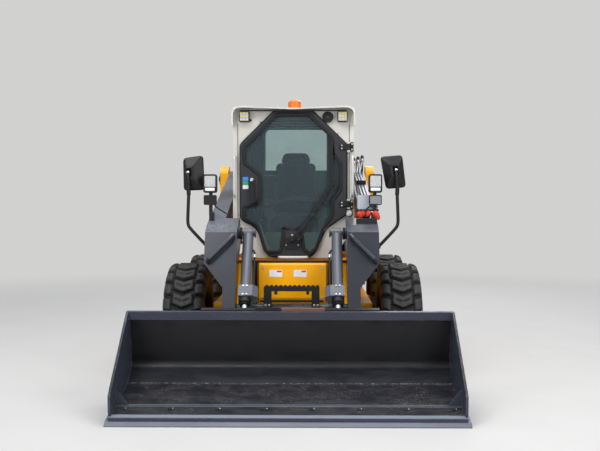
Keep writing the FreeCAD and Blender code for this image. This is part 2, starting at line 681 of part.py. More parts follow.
def make_tailgate():
    """Rear door with a louvred grille, hinged at the machine's right."""
    gate = body("gate")
    back, front = "shell_y + 32", "shell_y + side_gap"
    pad(gate, "XZ", front, back,
        block("-tub_upper_half + 2", "tub_upper_half", "shell_bottom + 8", "shell_top - 20", "40"))
    cut(gate, "XZ", "shell_y", back + " - 8",
        block("-tub_upper_half + 14", "tub_upper_half - 12", "shell_bottom + 20", "shell_top - 32", "30"))
    slots = [block("-270", "270", "%d" % (720 + 48 * i), "%d" % (744 + 48 * i), "10") for i in range(8)]
    cut(gate, "XZ", "shell_y", back + " + 4", *slots)
    for foot in GATE_KNUCKLES:
        head = foot + " + gate_knuckle"
        pad(gate, "XZ", "gate_hinge_y - 5", back, block("gate_hinge_x", "-tub_upper_half + 30", foot, head))
        pad(gate, "XY", foot, head, ring("gate_hinge_x", "gate_hinge_y", "hinge_radius"))
        cut(gate, "XY", foot, head, ring("gate_hinge_x", "gate_hinge_y", "hinge_pin + fit"))
    return node("tailgate", gate)


def make_bumper():
    """Rear bumper weight with a tow eye."""
    bumper = body("bumper")
    pad(bumper, "XY", "tub_bottom + 30", "shell_bottom - 6",
        (("-tub_half", "tub_back_y + seat_gap"), ("tub_half", "tub_back_y + seat_gap"),
         ("tub_half", "bumper_y - 20", "60"), ("tub_half - 160", "bumper_y - 20", "60"),
         ("tub_half - 190", "shell_y + 44"), ("-tub_half + 190", "shell_y + 44"),
         ("-tub_half + 160", "bumper_y - 20", "60"), ("-tub_half", "bumper_y - 20", "60")))
    for low in ("330", "390"):
        pad(bumper, "XY", low, low + " + 18",
            (("-60", "shell_y + 20"), ("60", "shell_y + 20"), ("45", "bumper_y", "40"),
             ("-45", "bumper_y", "40")))
    cut(bumper, "XY", "320", "420", ring("0", "bumper_y - 42", "16"))
    return node("rear_bumper", bumper)


def make_tail_lamps():
    """Lamp blocks on the rear corners of the bumper."""
    lamp = body("lamp")
    pad(lamp, "XZ", "shell_y - 55", "shell_y",
        block("tub_upper_half + shell_plate + seat_gap", "tub_upper_half + shell_plate + 58",
              "1000", "1116", "8"))
    return node("tail_lamps", group("both_lamps", lamp, mirrored(lamp, "lamp_twin")))


def make_exhaust():
    """Exhaust stack beside the hood, held by a strap on the shell's wall."""
    stack = body("stack")
    foot = "shell_top - 60"
    pad(stack, "XY", foot, foot + " + 40", ring("stack_x", "stack_y", "46"))
    pad(stack, "XY", foot + " + 30", foot + " + 270", ring("stack_x", "stack_y", "30"))
    cut(stack, "XY", foot + " + 60", foot + " + 275", ring("stack_x", "stack_y", "25"))
    pad(stack, "XY", foot, foot + " + 32",
        block("stack_x", "-tub_upper_half - shell_plate - seat_gap", "stack_y - 26", "stack_y + 26"))
    return node("exhaust_stack", stack)


def cab_section(inset):
    """The cab's outline seen from the front, moved in by a wall."""
    return (("-cab_foot_half + %s" % inset, "cab_foot + %s" % inset),
            ("cab_foot_half - %s" % inset, "cab_foot + %s" % inset),
            ("cab_half - %s" % inset, "cab_waist", "60"),
            ("cab_half - %s" % inset, "cab_top - %s" % inset, "30"),
            ("-cab_half + %s" % inset, "cab_top - %s" % inset, "30"),
            ("-cab_half + %s" % inset, "cab_waist", "60"))


def moved_in(rows, inset):
    """Corners x, z, radius with their ways in along x and z, moved in by a length."""
    return [("%d + %d * (%s)" % (x, way_x, inset), "%d + %d * (%s)" % (z, way_z, inset), "%d" % radius)
            for x, z, radius, way_x, way_z in rows]


# x, z, corner radius, and the ways in along x and z
DOOR_EDGE = ((128, 880, 30, -1, 1), (164, 926, 20, -1, 1), (230, 1080, 60, -1, 1), (384, 1186, 40, -1, 1),
             (384, 1690, 30, -1, -1), (138, 1932, 24, -1, -1), (-138, 1932, 24, 1, -1),
             (-384, 1690, 30, 1, -1), (-384, 1152, 40, 1, 1), (-262, 1086, 60, 1, 1),
             (-204, 926, 20, 1, 1), (-170, 880, 30, 1, 1))
GLASS_EDGE = ((107, 1896, 20, -1, -1), (270, 1737, 40, -1, -1), (277, 1614, 0, -1, -1),
              (332, 1556, 30, -1, -1), (332, 1360, 30, -1, 1), (274, 1287, 20, -1, 1),
              (274, 1179, 30, -1, 1), (212, 1099, 40, -1, 1), (154, 940, 16, -1, 1), (118, 911, 0, 0, 1),
              (82, 940, 0, 1, 1), (75, 1034, 20, 1, 1), (38, 1095, 0, 1, 1), (-77, 1095, 0, -1, 1),
              (-85, 1034, 0, -1, 1), (-99, 922, 20, -1, 1), (-193, 922, 20, 1, 1),
              (-251, 1114, 40, 1, 1), (-346, 1164, 20, 1, 1), (-346, 1230, 0, 1, -1),
              (-259, 1251, 0, 1, -1), (-233, 1302, 16, 1, 0), (-233, 1469, 20, 1, 0),
              (-280, 1512, 0, 1, 1), (-346, 1563, 14, 1, 1), (-346, 1668, 30, 1, -1),
              (-114, 1896, 20, 1, -1))


def side_window(inset):
    """Outline of a side window, moved in by a length."""
    front, back = "cab_front_y + side_glass_front + " + inset, "cab_back_y - side_glass_back - " + inset
    low, top = "side_glass_low + " + inset, "side_glass_top - " + inset
    return ((front, low, "40"), (back, low + " + 80", "40"), (back, top, "40"), (front, top, "40"))


def make_cab():
    """Hollow cab: walls, posts and window openings, with the seat's pedestal inside."""
    cab = body("cab")
    pad(cab, "XZ", "cab_front_y", "cab_back_y", cab_section("0"))
    cut(cab, "XZ", "cab_front_y + cab_plate", "cab_back_y - cab_plate", cab_section("cab_plate"))
    cut(cab, "XZ", "cab_front_y - 5", "cab_front_y + cab_plate + 5", moved_in(DOOR_EDGE, "22"))
    cut(cab, "XZ", "cab_back_y - cab_plate - 5", "cab_back_y + 5",
        block("-rear_glass_half", "rear_glass_half", "rear_glass_low", "rear_glass_top", "50"))
    cut(cab, "YZ", "-cab_half - 5", "cab_half + 5",
        side_window("0"))
    pad(cab, "XZ", "cab_front_y + 420", "cab_back_y - 60",
        block("-seat_half - 5", "seat_half + 5", "cab_foot + 10", "seat_base"))
    ear = block("door_hinge_half - 10", "door_hinge_half + 12", "door_hinge_y - 10", "cab_front_y + 2", "3")
    for foot in DOOR_KNUCKLES:
        head = foot + " + door_knuckle"
        pad(cab, "XY", foot + " - 1 - hinge_ear", foot + " - 1", ear)
        pad(cab, "XY", head + " + 1", head + " + 1 + hinge_ear", ear)
        pad(cab, "XY", foot + " - 3", head + " + 3", ring("door_hinge_half", "door_hinge_y", "hinge_pin"))
    return node("cab_shell", cab)


def make_roof():
    """Roof with raised corners and a skirt that stands out in front as a visor."""
    roof = body("roof")
    dip = "roof_top - 14"
    inner = "roof_half - 12"
    crown = (("roof_half - 90", "roof_top", "200"), ("70", dip, "300"), ("-70", dip, "300"),
             ("-roof_half + 90", "roof_top", "200"))
    visor = (("roof_half", "roof_skirt", "10"), ("roof_half", "roof_top", "roof_round")) + crown + (
             ("-roof_half", "roof_top", "roof_round"), ("-roof_half", "roof_skirt", "10"),
             ("-(%s)" % inner, "roof_skirt"), ("-(%s)" % inner, "roof_top - 14", "roof_round - 12"),
             ("-roof_half + 92", "roof_top - 12"), ("0", dip + " - 11"), ("roof_half - 92", "roof_top - 12"),
             (inner, "roof_top - 14", "roof_round - 12"), (inner, "roof_skirt"))
    pad(roof, "XZ", "roof_front_y", "cab_front_y - seat_gap", visor)
    deck = (("roof_half", "cab_top - 44"), ("roof_half", "roof_top", "roof_round - 30")) + crown + (
            ("-roof_half", "roof_top", "roof_round - 30"), ("-roof_half", "cab_top - 44"),
            ("-cab_half - seat_gap", "cab_top - 44"), ("-cab_half - seat_gap", "cab_top + seat_gap"),
            ("cab_half + seat_gap", "cab_top + seat_gap"), ("cab_half + seat_gap", "cab_top - 44"))
    pad(roof, "XZ", "cab_front_y - seat_gap - 1", "roof_back_y", deck)
    return node("cab_roof", roof)


def make_cab_glass():
    """Side windows and the rear window, set in their openings."""
    side = body("side_glass")
    pad(side, "YZ", "cab_half - 14", "cab_half - 14 + glass_thick",
        side_window("seat_gap"))
    node("side_windows", group("both_sides", side, mirrored(side, "side_glass_twin")))
    rear = body("rear_glass")
    pad(rear, "XZ", "cab_back_y - 14", "cab_back_y - 14 + glass_thick",
        block("-rear_glass_half + seat_gap", "rear_glass_half - seat_gap",
              "rear_glass_low + seat_gap", "rear_glass_top - seat_gap", "50"))
    node("rear_window", rear)


def make_seat():
    """Seat cushion and back as plain pads on the pedestal."""
    foot = "seat_base + seat_gap"
    cushion = body("cushion")
    pad(cushion, "YZ", "-seat_half", "seat_half",
        (("cab_front_y + 400", foot, "20"), ("cab_back_y - 120", foot, "20"),
         ("cab_back_y - 120", "seat_base + 110", "30"), ("cab_front_y + 400", "seat_base + 130", "40")))
    node("seat_cushion", cushion)
    back = body("seat_back")
    pad(back, "YZ", "-seat_half + 10", "seat_half - 10",
        (("cab_back_y - 240", foot + " + 115", "10"), ("cab_back_y - 158", foot + " + 111.6", "10"),
         ("cab_back_y - 118", "seat_base + 150", "30"),
         ("cab_back_y - 60", "seat_base + 520", "30"), ("cab_back_y - 130", "seat_base + 525", "30")))
    pad(back, "YZ", "-seat_half + 105", "seat_half - 105",
        (("cab_back_y - 130", "seat_base + 515", "10"), ("cab_back_y - 62", "seat_base + 510", "10"),
         ("cab_back_y - 52", "seat_base + 650", "25"), ("cab_back_y - 112", "seat_base + 655", "25")))
    node("seat_backrest", back)


def make_levers():
    """Control consoles with a lever each side of the seat."""
    console = body("console")
    floor = "cab_foot + cab_plate + seat_gap"
    pad(console, "YZ", "234", "276",
        (("cab_front_y + 300", floor), ("cab_back_y - 160", floor),
         ("cab_back_y - 160", "1150", "20"), ("cab_front_y + 300", "1130", "20")))
    pad(console, "XY", "1120", "1290", ring("255", "cab_front_y + 340", "10"))
    pad(console, "XY", "1270", "1370", ring("255", "cab_front_y + 340", "20"))
    node("control_levers", group("both_consoles", console, mirrored(console, "console_twin")))


def make_roof_lamps():
    """Square work lamps under the visor."""
    lamp = body("work_lamp")
    pad(lamp, "XZ", "cab_front_y - 50", "cab_front_y - seat_gap",
        block("work_lamp_half - work_lamp_wide / 2", "work_lamp_half + work_lamp_wide / 2",
              "work_lamp_top - work_lamp_wide - 5", "work_lamp_top", "12"))
    node("roof_lamps", group("both_work_lamps", lamp, mirrored(lamp, "work_lamp_twin")))


def make_beacon():
    """Round warning beacon on the roof."""
    beacon = body("dome")
    turned(beacon, (("0", "0"), ("0", "beacon_radius"), ("22", "beacon_radius"), ("26", "beacon_radius - 5"),
                    ("beacon_tall - 8", "beacon_radius - 9", "22"), ("beacon_tall", "0")))
    beacon.Placement = FreeCAD.Placement(
        FreeCAD.Vector(0, value("cab_front_y + 430"), value("roof_top - 14 + seat_gap")),
        FreeCAD.Rotation(FreeCAD.Vector(0, 1, 0), -90))
    node("beacon", beacon)


def make_door():
    """Front door: frame, glass, lock plate and wiper."""
    frame = body("door")
    pad(frame, "XZ", "door_front_y", "door_back_y", moved_in(DOOR_EDGE, "0"))
    cut(frame, "XZ", "door_front_y - 5", "door_back_y + 5", moved_in(GLASS_EDGE, "0"))
    for foot in DOOR_KNUCKLES:
        head = foot + " + door_knuckle"
        pad(frame, "XZ", "door_front_y", "door_front_y + 14", block("370", "door_hinge_half", foot, head))
        pad(frame, "XY", foot, head, ring("door_hinge_half", "door_hinge_y", "hinge_radius"))
        cut(frame, "XY", foot, head, ring("door_hinge_half", "door_hinge_y", "hinge_pin + fit"))
    node("door_frame", frame)
    glass = body("door_glass")
    pad(glass, "XZ", "door_back_y - 12", "door_back_y - 12 + glass_thick", moved_in(GLASS_EDGE, "seat_gap"))
    node("door_glass", glass)
    handle = body("handle")
    low, high = "-handle_x - handle_half", "-handle_x + handle_half"
    pad(handle, "XZ", "door_front_y - 36", "door_front_y - 22",
        block(low, high, "handle_low", "handle_low + handle_tall", "12"))
    for foot in ("handle_low + 6", "handle_low + handle_tall - 28"):
        pad(handle, "XZ", "door_front_y - 24", "door_front_y - seat_gap",
            block(low + " + 6", high + " - 6", foot, foot + " + 22"))
    pad(handle, "XZ", "door_front_y - 14", "door_front_y - seat_gap",
        ring("-handle_x", "handle_low + handle_tall + 15", "12"))
    node("door_handle", handle)
    make_wiper()


def make_wiper():
    """Wiper motor plate, two parallel arms and the blade that they carry."""
    wiper = body("wiper")
    face = "door_front_y - seat_gap"
    pad(wiper, "XZ", face + " - 10", face, block("-62", "50", "930", "1016", "16"))
    for foot_x, foot_z, head_x, head_z in (("-9", "994", "281", "1411"), ("38", "998", "317", "1407")):
        pad(wiper, "XZ", face + " - 26", face + " - 14", bar(foot_x, foot_z, head_x, head_z, "wiper_arm"))
        pad(wiper, "XZ", face + " - 28", face + " - 8", ring(foot_x, foot_z, "wiper_arm + 6"))
    pad(wiper, "XZ", face + " - 26", face + " - 14", block("262", "326", "1394", "1418", "4"))
    pad(wiper, "XZ", face + " - 20", face + " - 6", block("264", "286", "1350", "1720", "4"))
    node("wiper", wiper)


def bar(foot_x, foot_z, head_x, head_z, half):
    """Outline of a straight bar between two points, with a half width."""
    long = "sqrt((%s - (%s))^2 + (%s - (%s))^2)" % (head_x, foot_x, head_z, foot_z)
    across = "(%s) * (%s - (%s)) / %s" % (half, head_z, foot_z, long)
    up = "(%s) * (%s - (%s)) / %s" % (half, head_x, foot_x, long)
    return [("%s %s %s" % (x, way, across), "%s %s %s" % (z, back, up))
            for x, z, way, back in ((foot_x, foot_z, "-", "+"), (foot_x, foot_z, "+", "-"),
                                    (head_x, head_z, "+", "-"), (head_x, head_z, "-", "+"))]


def make_arms():
    """Loader arms: a beam beside the cab and a leg before it on each side, and the cross tube."""
    arm = body("arm")
    face_top = ("front_y - leg_face_ahead", "leg_face_top")
    top_front = ("front_y - arm_knee_ahead", "arm_knee_top")
    knee = (face_top, top_front, ("arm_pin_y - 10", "arm_pin_top + arm_tail_rise", "120"),
            ("arm_pin_y + arm_boss", "arm_pin_top + 60", "60"),
            ("arm_pin_y + arm_boss", "arm_pin_top - 75", "60"),
            ("arm_pin_y - 40", "arm_pin_top - 75", "100"),
            ("front_y + 20", "1012", "80"), ("front_y - 240", "930", "60"), ("front_y - 450", "900"))
    pad(arm, "YZ", "arm_inner", "arm_outer", knee)
    leg = (face_top, top_front, ("front_y - 180", arm_top("-180")), ("front_y - 150", "960", "40"),
           ("front_y - 250", "900", "80"), ("bucket_pin_y + 58", "bucket_pin_top + 20", "30"),
           ("bucket_pin_y + 50", "bucket_pin_top - 62", "50"),
           ("bucket_pin_y - leg_nose + 2", "bucket_pin_top - 62", "55"),
           ("bucket_pin_y - leg_nose", "bucket_pin_top + 20", "40"))
    pad(arm, "YZ", "leg_inner", "arm_outer", leg)
    cut(arm, "XZ", "bucket_pin_y - 200", "front_y",
        (("arm_outer + 5", "bucket_pin_top - 100"), ("arm_outer + 5", "leg_taper_top + 3"),
         ("arm_outer", "leg_taper_top"), ("leg_foot", "leg_taper_foot"),
         ("leg_foot", "bucket_pin_top - 100")))
    cut(arm, "YZ", "arm_inner - 5", "arm_outer + 5",
        ring("arm_pin_y", "arm_pin_top", "arm_pin_radius + fit"))
    cut(arm, "YZ", "leg_inner - 5", "arm_outer + 5",
        ring("bucket_pin_y", "bucket_pin_top", "bucket_pin_radius + fit"))
    pad(arm, "YZ", "tilt_half + 40", "leg_inner + 3", ring("tilt_pin_y", "tilt_pin_top", "38"))
    pad(arm, "YZ", "tilt_half - 48", "tilt_half + 42", ring("tilt_pin_y", "tilt_pin_top", "tilt_pin_radius"))
    pad(arm, "YZ", "tilt_half - 52", "tilt_half - 42", ring("tilt_pin_y", "tilt_pin_top", "27"))
    for low, high in (("arm_inner + 4", "lift_half - lift_eye_wide / 2 - side_gap"),
                      ("lift_half + lift_eye_wide / 2 + side_gap", "arm_outer - 4")):
        pad(arm, "YZ", low, high,
            (("lift_eye_y - 130", "lift_eye_top + 132"), ("lift_eye_y - 60", "lift_eye_top - 60", "56"),
             ("lift_eye_y + 60", "lift_eye_top - 60", "56"), ("lift_eye_y + 140", "lift_eye_top + 208")))
    tube = body("cross")
    pad(tube, "YZ", "-leg_inner - 3", "leg_inner + 3", ring("cross_y", "cross_top", "cross_radius"))
    node("loader_arms", fused("both_arms", arm, mirrored(arm, "arm_twin"), tube))


def make_step():
    """Serrated tread on two brackets in front of the cross tube, with a rod between them."""
    step = body("step")
    outline = [("-step_half", "step_top - 36"), ("step_half", "step_top - 36")]
    pitch = "2 * step_half / %d" % STEP_TEETH
    tooth = ((0, "step_top - 8"), (0.2, "step_top"), (0.6, "step_top"), (0.8, "step_top - 8"))
    for index in range(STEP_TEETH):
        for share, height in tooth:
            outline.append(("step_half - %.1f * %s" % (index + share, pitch), height))
    outline.append(("-step_half", "step_top - 8"))
    front = "cross_y - 58"
    for start in (front, front + " + step_deep - 8"):
        pad(step, "XZ", start, start + " + 8", outline)
    pad(step, "XZ", front + " + 2", front + " + step_deep - 2",
        block("-step_half", "step_half", "step_top - 34", "step_top - 26"))
    for low, high in (("-step_half", "-step_half + 53"), ("step_half - 53", "step_half")):
        pad(step, "XZ", front, front + " + 12", block(low, high, "cross_top - 16", "step_top - 30"))
        pad(step, "XZ", front + " + 10", "cross_y - cross_radius + 6",
            block(low, high, "cross_top - 8", "cross_top + 8"))
    for middle in ("-105", "108"):
        pad(step, "XZ", front, front + " + 8",
            block(middle + " - 10", middle + " + 10", "step_top - 58", "step_top - 30", "4"))
    pad(step, "YZ", "-step_half - 26", "step_half + 26", ring("cross_y - 40", "cross_top + 65", "8"))
    cut(step, "YZ", "-300", "300", ring("cross_y", "cross_top", "cross_radius + seat_gap"))
    node("step", step)


def make_grab_bars():
    """Bent hand rails that stand on the leaning faces of the legs."""
    # x, height, and how far the rail's middle stands off the face
    rows = ((398, 1046, "rail_radius * 0.56"), (399, 1042, "rail_off - 14"), (412, 1028, "rail_off"),
            (546, 894, "rail_off"), (559, 881, "rail_off - 14"), (561, 872, "rail_radius / 10"))
    spots = [FreeCAD.Vector(x, value(leg_face(z)) - value(off), z) for x, z, off in rows]
    start = Part.Wire(Part.makeCircle(value("rail_radius"), spots[0], spots[1] - spots[0]))
    rail = doc.addObject("Part::Feature", "rail")
    rail.Shape = Part.Wire(Part.makePolygon(spots).Edges).makePipeShell([start], True, False, 1)
    node("grab_bars", group("both_rails", rail, mirrored(rail, "rail_twin")))


def make_mirrors():
    """Rounded mirror heads, each on a stalk that is bolted to its leg."""
    head = body("mirror")
    pad(head, "XZ", "front_y - 170", "front_y - 115",
        (("mirror_inner + 18", "mirror_low", "26"), ("mirror_inner + mirror_wide", "mirror_low + 20", "26"),
         ("mirror_inner + mirror_wide - 34", "mirror_low + mirror_tall", "26"),
         ("mirror_inner", "mirror_low + mirror_tall - 20", "26")))
    pad(head, "XZ", "front_y - 188", "front_y - 169",
        block("mirror_inner + 38", "mirror_inner + 132", "mirror_low + 46", "mirror_low + 214", "26"))
    stalk = body("stalk")
    pad(stalk, "XZ", "front_y - 210", "front_y - 188",
        (("590", "966", "4"), ("600", "954", "4"), ("736", "1104", "60"), ("736", "1480", "4"),
         ("714", "1480", "4"), ("714", "1112", "60")))
    pad(stalk, "XZ", "front_y - 210", "front_y - 187", block("703", "747", "1452", "1508", "8"))
    pad(stalk, "YZ", "arm_outer + seat_gap", "606",
        block("front_y - 218", "front_y - 180", "948", "984", "6"))
    whole = fused("mirror_whole", head, stalk)
    node("mirrors", group("both_mirrors", whole, mirrored(whole, "mirror_twin")))


def make_headlamps():
    """Lamps with an indicator below, on posts that stand on the arms."""
    lamp = body("headlamp")
    pad(lamp, "XZ", "front_y - 250", "front_y - 190",
        block("headlamp_half - headlamp_wide / 2", "headlamp_half + headlamp_wide / 2",
              "headlamp_low", "headlamp_low + headlamp_tall", "16"))
    pad(lamp, "XZ", "front_y - 250", "front_y - 204",
        block("headlamp_half - headlamp_wide / 2 + 3", "headlamp_half + headlamp_wide / 2 - 3",
              "indicator_low", "indicator_low + indicator_tall", "10"))
    pad(lamp, "XZ", "front_y - 236", "front_y - 216",
        block("headlamp_half - 16", "headlamp_half + 8", "1180", "headlamp_low + 20"))
    pad(lamp, "YZ", "headlamp_half - 28", "arm_outer - 4",
        (("front_y - 250", arm_top("-250", "seat_gap")), ("front_y - 202", arm_top("-202", "seat_gap")),
         ("front_y - 206", "1200", "8"), ("front_y - 246", "1200", "8")))
    node("headlamps", group("both_headlamps", lamp, mirrored(lamp, "headlamp_twin")))


def make_aux():
    """Hydraulic outlets on the left arm: tubes along its top, their bracket and capped couplings."""
    bracket = body("aux_bracket")
    pad(bracket, "XZ", "front_y - 190", "front_y - 60",
        block("roof_half + 10", "600", "aux_box_low", "aux_box_low + aux_box_tall", "8"))
    pad(bracket, "YZ", "482", "544",
        (("front_y - 190", arm_top("-190", "12")), ("front_y - 150", arm_top("-150", "seat_gap")),
         ("front_y - 100", arm_top("-100", "seat_gap")), ("front_y - 100", "aux_box_low + 10"),
         ("front_y - 190", "aux_box_low + 10")))
    node("aux_bracket", bracket)
    caps = []
    for x in (488, 530):
        cap = body("aux_cap")
        pad(cap, "XZ", "front_y - 236", "front_y - 190 - seat_gap", ring(x, "aux_cap_top", "aux_cap_radius"))
        pad(cap, "XZ", "front_y - 252", "front_y - 234", ring(x, "aux_cap_top", "aux_cap_radius - 7"))
        caps.append(cap)
    node("aux_caps", group("both_caps", *caps))
    lean = "atan(aux_slope) / 1deg - 90"
    long = "(aux_tube_end + 58) * sqrt(1 + aux_slope^2)"
    tubes = []
    for x in (500, 522, 544):
        tube = body("aux_tube")
        pad(tube, "XY", "0", long, ring("0", "0", "aux_tube_radius"))
        tubes.append(placed(tube, x, "front_y - 58", "aux_tube_front", lean))
    node("aux_tubes", group("all_tubes", *tubes))


# x outwards from the barrel's middle and y, of the plate that is clamped round it
CLAMP_EDGE = (("-84", "-22"), ("-50", "-47"), ("44", "-47"), ("44", "47"), ("-50", "47"), ("-84", "22"))


def sign_x(side, x):
    """A distance outwards as it is along X on one side of the machine."""
    return x if side == "left" else "-(%s)" % x


def make_tilt_cylinders():
    """Tilt cylinders between the arms' knees and the coupler."""
    lean = "atan2(tilt_eye_y - tilt_pin_y; tilt_pin_top - tilt_eye_top)"
    for side, sign in (("left", ""), ("right", "-")):
        barrel = body("tilt_barrel_" + side)
        pad(barrel, "YZ", "-31", "31", ring("0", "0", "tilt_barrel_radius + 4"))
        pad(barrel, "XY", "-tilt_barrel_long + 30", "0", ring("0", "0", "tilt_barrel_radius"))
        pad(barrel, "XY", "-tilt_barrel_long", "-tilt_barrel_long + 34",
            ring("0", "0", "tilt_barrel_radius - 5"))
        pad(barrel, "XY", "-tilt_barrel_long + 44", "-tilt_barrel_long + 128",
            [(sign_x(side, x), y) for x, y in CLAMP_EDGE])
        cut(barrel, "XY", "-tilt_barrel_long - 2", "-tilt_barrel_radius - 30",
            ring("0", "0", "tilt_rod_radius + fit"))
        cut(barrel, "YZ", "-40", "40", ring("0", "0", "tilt_pin_radius + fit"))
        placed(barrel, sign + "tilt_half", "tilt_pin_y", "tilt_pin_top", lean)
        node("tilt_barrel_" + side, barrel)
        rod = body("tilt_rod_" + side)
        pad(rod, "XY", "0", "tilt_rod_long", ring("0", "0", "tilt_rod_radius"))
        pad(rod, "YZ", "-tilt_eye_wide / 2", "tilt_eye_wide / 2", ring("0", "0", "tilt_eye_radius"))
        placed(rod, sign + "tilt_half", "tilt_eye_y", "tilt_eye_top", lean)
        node("tilt_rod_" + side, rod)


def make_lift_cylinders():
    """Lift cylinders between the towers' feet and the arms."""
    lean = "atan2(lift_pin_top - lift_eye_top; lift_pin_y - lift_eye_y)"
    for side, sign in (("left", ""), ("right", "-")):
        barrel = body("lift_barrel_" + side)
        pad(barrel, "YZ", "-lift_eye_wide / 2 - 8", "lift_eye_wide / 2 + 8",
            ring("0", "0", "lift_eye_radius"))
        pad(barrel, "XZ", "-lift_barrel_long + 30", "0", ring("0", "0", "lift_barrel_radius"))
        pad(barrel, "XZ", "-lift_barrel_long", "-lift_barrel_long + 34",
            ring("0", "0", "lift_barrel_radius - 5"))
        cut(barrel, "XZ", "-lift_barrel_long - 2", "-lift_eye_radius - 30",
            ring("0", "0", "lift_rod_radius + fit"))
        cut(barrel, "YZ", "-40", "40", ring("0", "0", "lift_pin_radius + fit"))
        placed(barrel, sign + "lift_half", "lift_pin_y", "lift_pin_top", lean)
        node("lift_barrel_" + side, barrel)
        rod = body("lift_rod_" + side)
        pad(rod, "XZ", "0", "lift_rod_long", ring("0", "0", "lift_rod_radius"))
        pad(rod, "YZ", "-lift_eye_wide / 2", "lift_eye_wide / 2", ring("0", "0", "lift_eye_radius - 2"))
        placed(rod, sign + "lift_half", "lift_eye_y", "lift_eye_top", lean)
        node("lift_rod_" + side, rod)


def make_bucket():
    """Bucket: folded shell with a thick front edge, side plates, lip and gussets."""
    shell = body("bucket")
    under = "edge_plate + seat_gap"
    inner = under + " + bucket_plate"
    fold = ("bucket_deep - 12", "60 + " + under)
    back_top = ("bucket_deep", "bucket_tall")
    pad(shell, "YZ", "-bucket_half", "bucket_half",
        (tipped("32", under), tipped("bucket_floor", under) + ("60",), tipped(*fold) + ("50",),
         tipped(*back_top), tipped("bucket_deep - bucket_lip", "bucket_tall + bucket_plate"),
         tipped("bucket_deep - bucket_lip", "bucket_tall - 42"),
         tipped("bucket_deep - bucket_plate", "bucket_tall - 42"),
         tipped("bucket_deep - 12 - bucket_plate", "66 + " + under) + ("45",),
         tipped("bucket_floor - 6", inner) + ("55",), tipped("edge_deep + 12", inner),
         tipped("edge_deep + 8", under + " + edge_plate"), tipped("32", under + " + edge_plate")))
    for low, high in (("bucket_half - side_plate", "bucket_half"),
                      ("-bucket_half", "-bucket_half + side_plate")):
        pad(shell, "YZ", low, high,
            (tipped("56", under), tipped("bucket_floor", under) + ("60",), tipped(*fold) + ("50",),
             tipped(*back_top), tipped("bucket_deep - bucket_lip", "bucket_tall + bucket_plate"),
             tipped("62", "162") + ("20",), tipped("48", "72") + ("10",)))
    for side in ("", "-"):
        wall = side + "(bucket_half - 10)"
        pad(shell, "XZ", "tip_y + 180", "tip_y + 190",
            ((wall, "78"), (side + "(bucket_half - 100)", "78"), (wall, "190")))
    node("bucket", shell)
    edge = body("edge")
    pad(edge, "YZ", "-edge_half", "edge_half",
        (tipped("0", "0"), tipped("edge_deep", "0"), tipped("edge_deep", "edge_plate"),
         tipped("26", "edge_plate"), tipped("2", "6")))
    node("cutting_edge", edge)


def make_coupler():
    """Quick coupler: plate against the bucket's back, ears for the arms and the tilt rods."""
    coupler = body("coupler")
    seat = "bucket_deep + seat_gap"
    foot = "66 + edge_plate"
    head = foot + " + coupler_tall"
    slope = "12 / (bucket_tall - 60 - edge_plate)"
    low_seat = seat + " - (bucket_tall - (%s)) * %s" % (foot + " + 20", slope)
    pad(coupler, "YZ", "-coupler_half", "coupler_half",
        (tipped(low_seat, foot + " + 20"), tipped(low_seat + " + 30", foot + " + 12"),
         tipped(low_seat + " + 30", foot + " + 34"), tipped(seat + " + coupler_plate", head + " - 34"),
         tipped(seat + " + 40", head + " - 24"), tipped(seat + " + 40", head + " - 6"),
         tipped(seat, head + " - 6")))
    ear = (("tip_y + 672", "250"), ("bucket_pin_y + 20", "bucket_pin_top - 50", "40"),
           ("bucket_pin_y + 50", "bucket_pin_top + 20", "40"),
           ("tilt_eye_y + 60", "tilt_eye_top + 30", "40"),
           ("tip_y + 642", "tilt_eye_top + 70"))
    # inner and outer half distance of each pair of ears
    rows = (("tilt_half - 50", "tilt_half - 32"), ("tilt_half + 32", "leg_inner - side_gap"),
            ("leg_foot + side_gap", "leg_foot + 28"))
    for low, high in rows:
        pad(coupler, "YZ", low, high, ear)
        pad(coupler, "YZ", "-(%s)" % high, "-(%s)" % low, ear)
    for low, high in (("tilt_half + 34", "leg_foot + 40"), ("-leg_foot - 40", "-tilt_half - 34")):
        pad(coupler, "YZ", low, high, ring("bucket_pin_y", "bucket_pin_top", "bucket_pin_radius"))
    node("coupler", coupler)


def check(thing):
    """Stop on a failed feature, an empty shape or one that isn't sound."""
    for item in doc.Objects:
        bad = [word for word in item.State if word in ("Invalid", "Error")]
        if bad:
            raise RuntimeError("%s (%s) is %s" % (item.Label, item.Name, bad))
    shape = thing.Shape
    if shape.isNull() or not shape.isValid() or not shape.Solids:
        raise RuntimeError("%s has no sound solid" % thing.Label)


def check_cuts():
    """Stop if a pocket took nothing away."""
    for item in doc.Objects:
        if item.TypeId == "PartDesign::Pocket" and item.BaseFeature:
            if item.Shape.Volume > item.BaseFeature.Shape.Volume - 1:
                raise RuntimeError("%s cuts nothing" % item.Label)


make_tub()
make_wheels()
make_front_panel()
make_towers()
make_engine_shell()
make_engine()
make_hood()
make_tailgate()
make_bumper()
make_tail_lamps()
make_exhaust()
make_cab()
make_roof()
make_cab_glass()
make_seat()
make_levers()
make_roof_lamps()
make_beacon()
make_door()
make_arms()
make_step()
make_grab_bars()
make_mirrors()
make_headlamps()
make_aux()
make_tilt_cylinders()
make_lift_cylinders()
make_bucket()
make_coupler()

doc.recompute()
for part in NODES:
    check(part)
check_cuts()
os.makedirs("parts", exist_ok=True)
for part in NODES:
    part.Shape.exportStep("parts/%s.step" % part.Label)
print(len(NODES), "sub-parts")
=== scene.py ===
"""Skid steer loader: materials, dressing pieces, floor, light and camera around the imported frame."""

import math

